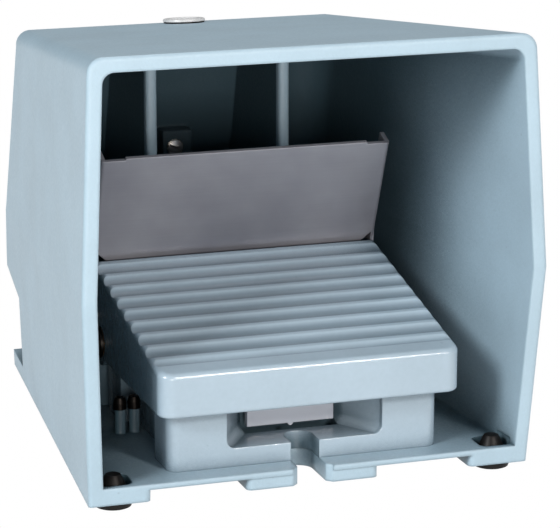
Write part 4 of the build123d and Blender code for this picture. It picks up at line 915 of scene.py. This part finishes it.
@dataclass
class GuardHood:
    """Cast hood with its plug, earthing point, posts and feet."""

    plug_back: float = 147.0
    roof_front_up: float = 148.4
    roof_front_reach: float = 3.6
    roof_drop: float = 17.4 / 160.6
    earth_across: float = -1.9
    earth_face: float = 154.0
    earth_up: float = 83.9
    earth_washer: float = 0.6
    post_top: float = 14.6
    post_back: float = 56.4
    post_offsets: tuple[float, float] = (46.0, 51.0)
    foot_places: tuple[tuple[float, float], ...] = ((66.9, 7.6), (50.0, 159.0))
    plug_profile: tuple[tuple[float, float], ...] = (
        (0, 1.15),
        (5.0, 1.15),
        (5.4, 1.25),
        (5.7, 1.6),
        (6.2, 1.7),
        (7.1, 1.65),
        (7.65, 1.4),
        (7.8, 1.0),
        (7.8, 0.6),
        (4.0, 0.6),
        (4.0, -5.6),
        (4.35, -5.7),
        (3.9, -7.0),
        (0, -7.05),
    )
    foot_profile: tuple[tuple[float, float], ...] = (
        (0, -2.6),
        (5.4, -2.6),
        (6.0, -2.35),
        (6.2, -1.7),
        (6.2, 0),
        (3.2, 0),
        (3.2, 2.0),
        (4.65, 2.05),
        (4.65, 3.5),
        (4.2, 4.6),
        (3.2, 7.0),
        (2.5, 8.2),
        (1.6, 8.6),
        (0, 8.6),
    )
    plug_sides: int = 64
    foot_sides: int = 48

    def build(self, screws: ScrewTree) -> None:
        """Make the fittings and paint the hood.

        Args:
            screws: Tree that makes the screws.
        """
        paint("hood", HOOD_ENAMEL)
        paint("roof_plug_ring", FOOT_RUBBER)
        paint("earth_washer", ZINC_PLATE)
        self.plug()
        self.feet()
        ScrewSet(
            "earthing_screw",
            [spot(self.earth_across, self.earth_face - self.earth_washer, self.earth_up)],
            (0, -1, 0),
            LIGHTENED_SCREW_HEAD,
            dome=True,
            seed=14,
        ).build(screws, "base", "earth_screw")
        seats = [spot(side * off, self.post_back, self.post_top) for side in (-1, 1) for off in self.post_offsets]
        ScrewSet(
            "post_head_screws",
            seats,
            (0, 0, 1),
            BLACK_OXIDE_AND_SHADE,
            head_radius=2.35,
            head_height=4.2,
            shank_radius=1.1,
            shank_length=6.0,
            slot_width=0.7,
            slot_depth=1.0,
            slot_length=3.0,
            recess=Recess.CROSS,
        ).build(screws, "base", "post_screws")

    def roof_up(self, back: float) -> float:
        """Height of the roof at a distance behind the front edge."""
        return self.roof_front_up - self.roof_drop * (back + self.roof_front_reach)

    def plug(self) -> None:
        """Turn the plug and set it square on the sloping roof."""
        points, faces = turned_rings(self.plug_profile, self.plug_sides)
        lean = math.atan(self.roof_drop)
        turn = Matrix.Rotation(-lean, 3, "X")
        seat = spot(0, self.plug_back, self.roof_up(self.plug_back))
        piece = mesh_piece("roof_plug_cap", [seat + turn @ point for point in points], faces, PLUG_PLASTIC)
        seat_piece(piece, "base", PLUG_PLASTIC, ("roof_plug",))

    def feet(self) -> None:
        """Turn the four push-in feet."""
        points, faces = turned_rings(self.foot_profile, self.foot_sides)
        all_points: list[Vector] = []
        all_faces: list[tuple[int, ...]] = []
        for across, back in self.foot_places:
            for side in (-1, 1):
                start = len(all_points)
                all_points += [spot(side * across, back, 0) + point for point in points]
                all_faces += [tuple(index + start for index in face) for face in faces]
        piece = mesh_piece("push_in_feet", all_points, all_faces, FOOT_RUBBER)
        seat_piece(piece, "base", FOOT_RUBBER, ("rubber_feet",))


@dataclass
class SwitchHousing:
    """Cast housing with the contact chamber and its fittings."""

    half_width: float = 42.0
    chamber: tuple[float, float] = (29.0, 67.0)
    inset: float = 3.4
    lid_top: float = 30.6
    block_offset: float = 19.0
    terminal_half: float = 4.5
    terminal_reach: float = 11.25
    terminal_up: float = 20.5
    rail_top: float = 11.5
    rail_screw_reach: float = 28.0 / 3

    def build(self, screws: ScrewTree) -> None:
        """Make the screws and paint the carried-over nodes.

        Args:
            screws: Tree that makes the screws.
        """
        paint("housing", HOUSING_ENAMEL)
        paint("housing_screws", ZINC_PLATE)
        paint("lid_gasket", FOOT_RUBBER)
        paint("chamber_lid", NYLON_LID)
        paint("plunger_seals", FOOT_RUBBER)
        paint("contact_rail", ZINC_PLATE)
        for name in ("contact_block_nc", "contact_block_no"):
            paint(name, BLOCK_PHENOLIC)
        for name in ("plunger_nc", "plunger_no"):
            paint(name, PLUNGER_ACETAL)
        for name in ("plunger_spring_nc", "plunger_spring_no"):
            paint(name, DRAWN_WIRE)
        middle = sum(self.chamber) / 2
        corners = [
            spot(side * (self.half_width - self.inset), back, self.lid_top)
            for side in (-1, 1)
            for back in (self.chamber[0] + self.inset, self.chamber[1] - self.inset)
        ]
        lid_set = ScrewSet("lid_corner_screws", corners, (0, 0, 1), ZINC_PLATE, recess=Recess.CROSS, slot_length=3.2)
        lid_set.build(screws, "base", "lid_screws")
        rail = [spot(0, middle + side * self.rail_screw_reach, self.rail_top) for side in (-1, 1)]
        rail_set = ScrewSet("rail_fixing_screws", rail, (0, 0, 1), ZINC_PLATE, shank_length=5.5)
        rail_set.build(screws, "base", "rail_screws")
        terminals = [
            spot(block + side * self.terminal_half, middle + end * self.terminal_reach, self.terminal_up)
            for block in (-self.block_offset, self.block_offset)
            for side in (-1, 1)
            for end in (-1, 1)
        ]
        ScrewSet(
            "wire_terminal_screws",
            terminals,
            (0, 0, 1),
            TURNED_BRASS,
            head_radius=2.4,
            head_height=1.4,
            shank_radius=1.4,
            shank_length=5.0,
        ).build(screws, "base", "terminal_screws")


@dataclass
class TreadPedal:
    """Ribbed pedal with its shaft, springs, adjusters and catch."""

    catch_across: float = 4.5
    catch_face: float = 77.9
    catch_up: float = 48.2

    def build(self, screws: ScrewTree) -> None:
        """Make the screws and paint the carried-over nodes.

        Args:
            screws: Tree that makes the screws.
        """
        paint("pedal", TREAD_ENAMEL)
        paint("pedal_bushes", SINTERED_BRONZE)
        # Painted shade: the shaft and its rings take the near black finish because they sit in the hood's shadow.
        paint("pedal_shaft", BLACK_OXIDE_AND_SHADE)
        paint("shaft_rings", BLACK_OXIDE_AND_SHADE)
        paint("pedal_springs", DRAWN_WIRE)
        for name in ("adjuster_screws", "adjuster_nuts", "pedal_catch"):
            paint(name, ZINC_PLATE)
        seats = [spot(side * self.catch_across, self.catch_face, self.catch_up) for side in (-1, 1)]
        ScrewSet(
            "catch_plate_screws", seats, (0, -1, 0), ZINC_PLATE, shank_length=5.6, recess=Recess.CROSS, slot_length=3.2
        ).build(screws, "pedal", "catch_screws")


@dataclass
class ToeFlap:
    """Bent sheet flap with its axle, rings, springs and latch."""

    sheet_nodes: tuple[str, ...] = ("flap", "latch_pawl")

    def build(self) -> None:
        """Give the flap's pieces their finishes."""
        for name in self.sheet_nodes:
            paint(name, BRUSHED_SHEET)
        paint("flap_axle", GROUND_STEEL)
        paint("flap_rings", BLACK_OXIDE_AND_SHADE)
        paint("flap_springs", DRAWN_WIRE)


@dataclass
class CableGland:
    """Gland low at the back with its washer, insert and dome nut."""

    metal_nodes: tuple[str, ...] = ("gland_body", "gland_cap")

    def build(self) -> None:
        """Give the gland's pieces their finishes."""
        for name in self.metal_nodes:
            paint(name, NICKEL_PLATE)
        paint("gland_washer", ZINC_PLATE)
        paint("gland_insert", FOOT_RUBBER)


@dataclass
class Studio:
    """Pale floor, soft lamps and the camera."""

    azimuth: float = -18.48
    elevation: float = 14.29
    distance: float = 0.9094
    target: tuple[float, float, float] = (-11.74, 0.0, 76.49)
    lens: float = 180.0
    lamps: list[tuple[str, tuple[float, float, float], float, float, tuple[float, float, float]]] = field(
        default_factory=lambda: [
            ("front_softbox", (0.53, -1.59, 0.85), 0.24, 15.0, (1.0, 0.92, 0.87)),
            ("low_softbox", (-0.3, -1.8, 0.22), 0.5, 14.0, (1.0, 0.92, 0.87)),
            ("left_softbox", (-1.4, -0.81, 0.93), 0.5, 21.0, (1.0, 1.0, 1.0)),
            ("right_softbox", (1.7, 0.5, 0.7), 0.8, 6.0, (1.0, 1.0, 1.0)),
            ("top_softbox", (0.1, 0.75, 1.6), 0.9, 11.0, (1.0, 1.0, 1.0)),
        ]
    )
    world_strength: float = 0.12
    lamp_aim: tuple[float, float, float] = (0.0, 0.0, 0.07)
    floor_reach: float = 6.0
    glossy_share: float = 0.8

    def build(self) -> None:
        """Set up floor, world, lamps and camera."""
        self.floor()
        self.world()
        for name, place, size, power, tint in self.lamps:
            self.lamp(name, place, size, power, tint)
        self.camera()

    def floor(self) -> None:
        """Lay a pale floor that shows pure white to the camera and mostly white in reflections."""
        mesh = bpy.data.meshes.new("studio_floor")
        reach = self.floor_reach
        mesh.from_pydata(
            [(-reach, -reach, 0), (reach, -reach, 0), (reach, reach, 0), (-reach, reach, 0)], [], [(0, 1, 2, 3)]
        )
        sheet = bpy.data.objects.new("studio_floor", mesh)
        bpy.context.scene.collection.objects.link(sheet)
        matter = bpy.data.materials.new("white_paper_floor")
        matter.use_nodes = True
        tree = matter.node_tree
        tree.nodes.clear()
        paper = add_node(tree, "ShaderNodeBsdfDiffuse", {"Color": linear("#EDEDED")})
        glow = add_node(tree, "ShaderNodeEmission", {"Color": (1, 1, 1, 1), "Strength": 1.0})
        ray = add_node(tree, "ShaderNodeLightPath")
        shine = maths(tree, "MULTIPLY", ray.outputs["Is Glossy Ray"], self.glossy_share)
        share = maths(tree, "MAXIMUM", ray.outputs["Is Camera Ray"], shine)
        mixed = add_node(
            tree, "ShaderNodeMixShader", {0: share, 1: paper.outputs["BSDF"], 2: glow.outputs["Emission"]}
        )
        add_node(tree, "ShaderNodeOutputMaterial", {"Surface": mixed.outputs["Shader"]})
        mesh.materials.append(matter)

    def world(self) -> None:
        """Even dome light, white where the camera sees it."""
        sky = bpy.data.worlds.new("studio_dome")
        bpy.context.scene.world = sky
        sky.use_nodes = True
        tree = sky.node_tree
        tree.nodes.clear()
        ray = add_node(tree, "ShaderNodeLightPath")
        dome = add_node(tree, "ShaderNodeBackground", {"Color": (1, 1, 1, 1), "Strength": self.world_strength})
        white = add_node(tree, "ShaderNodeBackground", {"Color": (1, 1, 1, 1), "Strength": 1.0})
        mixed = add_node(
            tree,
            "ShaderNodeMixShader",
            {0: ray.outputs["Is Camera Ray"], 1: dome.outputs[0], 2: white.outputs[0]},
        )
        add_node(tree, "ShaderNodeOutputWorld", {"Surface": mixed.outputs["Shader"]})

    def lamp(
        self,
        name: str,
        place: tuple[float, float, float],
        size: float,
        power: float,
        tint: tuple[float, float, float],
    ) -> None:
        """Hang one square soft lamp that looks at the switch.

        Args:
            name: Name of the lamp.
            place: Where it hangs, in metres.
            size: Its width in metres.
            power: Its power in watts.
            tint: Its colour in linear light.
        """
        light = bpy.data.lights.new(name, "AREA")
        light.shape = "SQUARE"
        light.size = size
        light.energy = power
        light.color = tint
        holder = bpy.data.objects.new(name, light)
        holder.location = place
        aim = Vector(self.lamp_aim) - Vector(place)
        holder.rotation_mode = "QUATERNION"
        holder.rotation_quaternion = aim.to_track_quat("-Z", "Y")
        bpy.context.scene.collection.objects.link(holder)

    def camera(self) -> None:
        """Set the camera at the photograph's angle."""
        data = bpy.data.cameras.new("studio_camera")
        data.lens = self.lens
        data.sensor_width = 36.0
        data.clip_start = 0.01
        data.clip_end = 100.0
        camera = bpy.data.objects.new("studio_camera", data)
        turn, lift = math.radians(self.azimuth), math.radians(self.elevation)
        back = Vector((math.sin(turn) * math.cos(lift), -math.cos(turn) * math.cos(lift), math.sin(lift)))
        camera.location = spot(*self.target) + back * self.distance
        camera.rotation_mode = "QUATERNION"
        camera.rotation_quaternion = (-back).to_track_quat("-Z", "Y")
        bpy.context.scene.collection.objects.link(camera)
        bpy.context.scene.camera = camera


def main() -> None:
    """Build the switch's looks in order."""
    logging.basicConfig(level=logging.INFO)
    bpy.context.scene.view_settings.view_transform = "Standard"
    Studio().build()
    screws = ScrewTree()
    GuardHood().build(screws)
    SwitchHousing().build(screws)
    TreadPedal().build(screws)
    ToeFlap().build()
    CableGland().build()


if __name__ == "__main__":
    main()
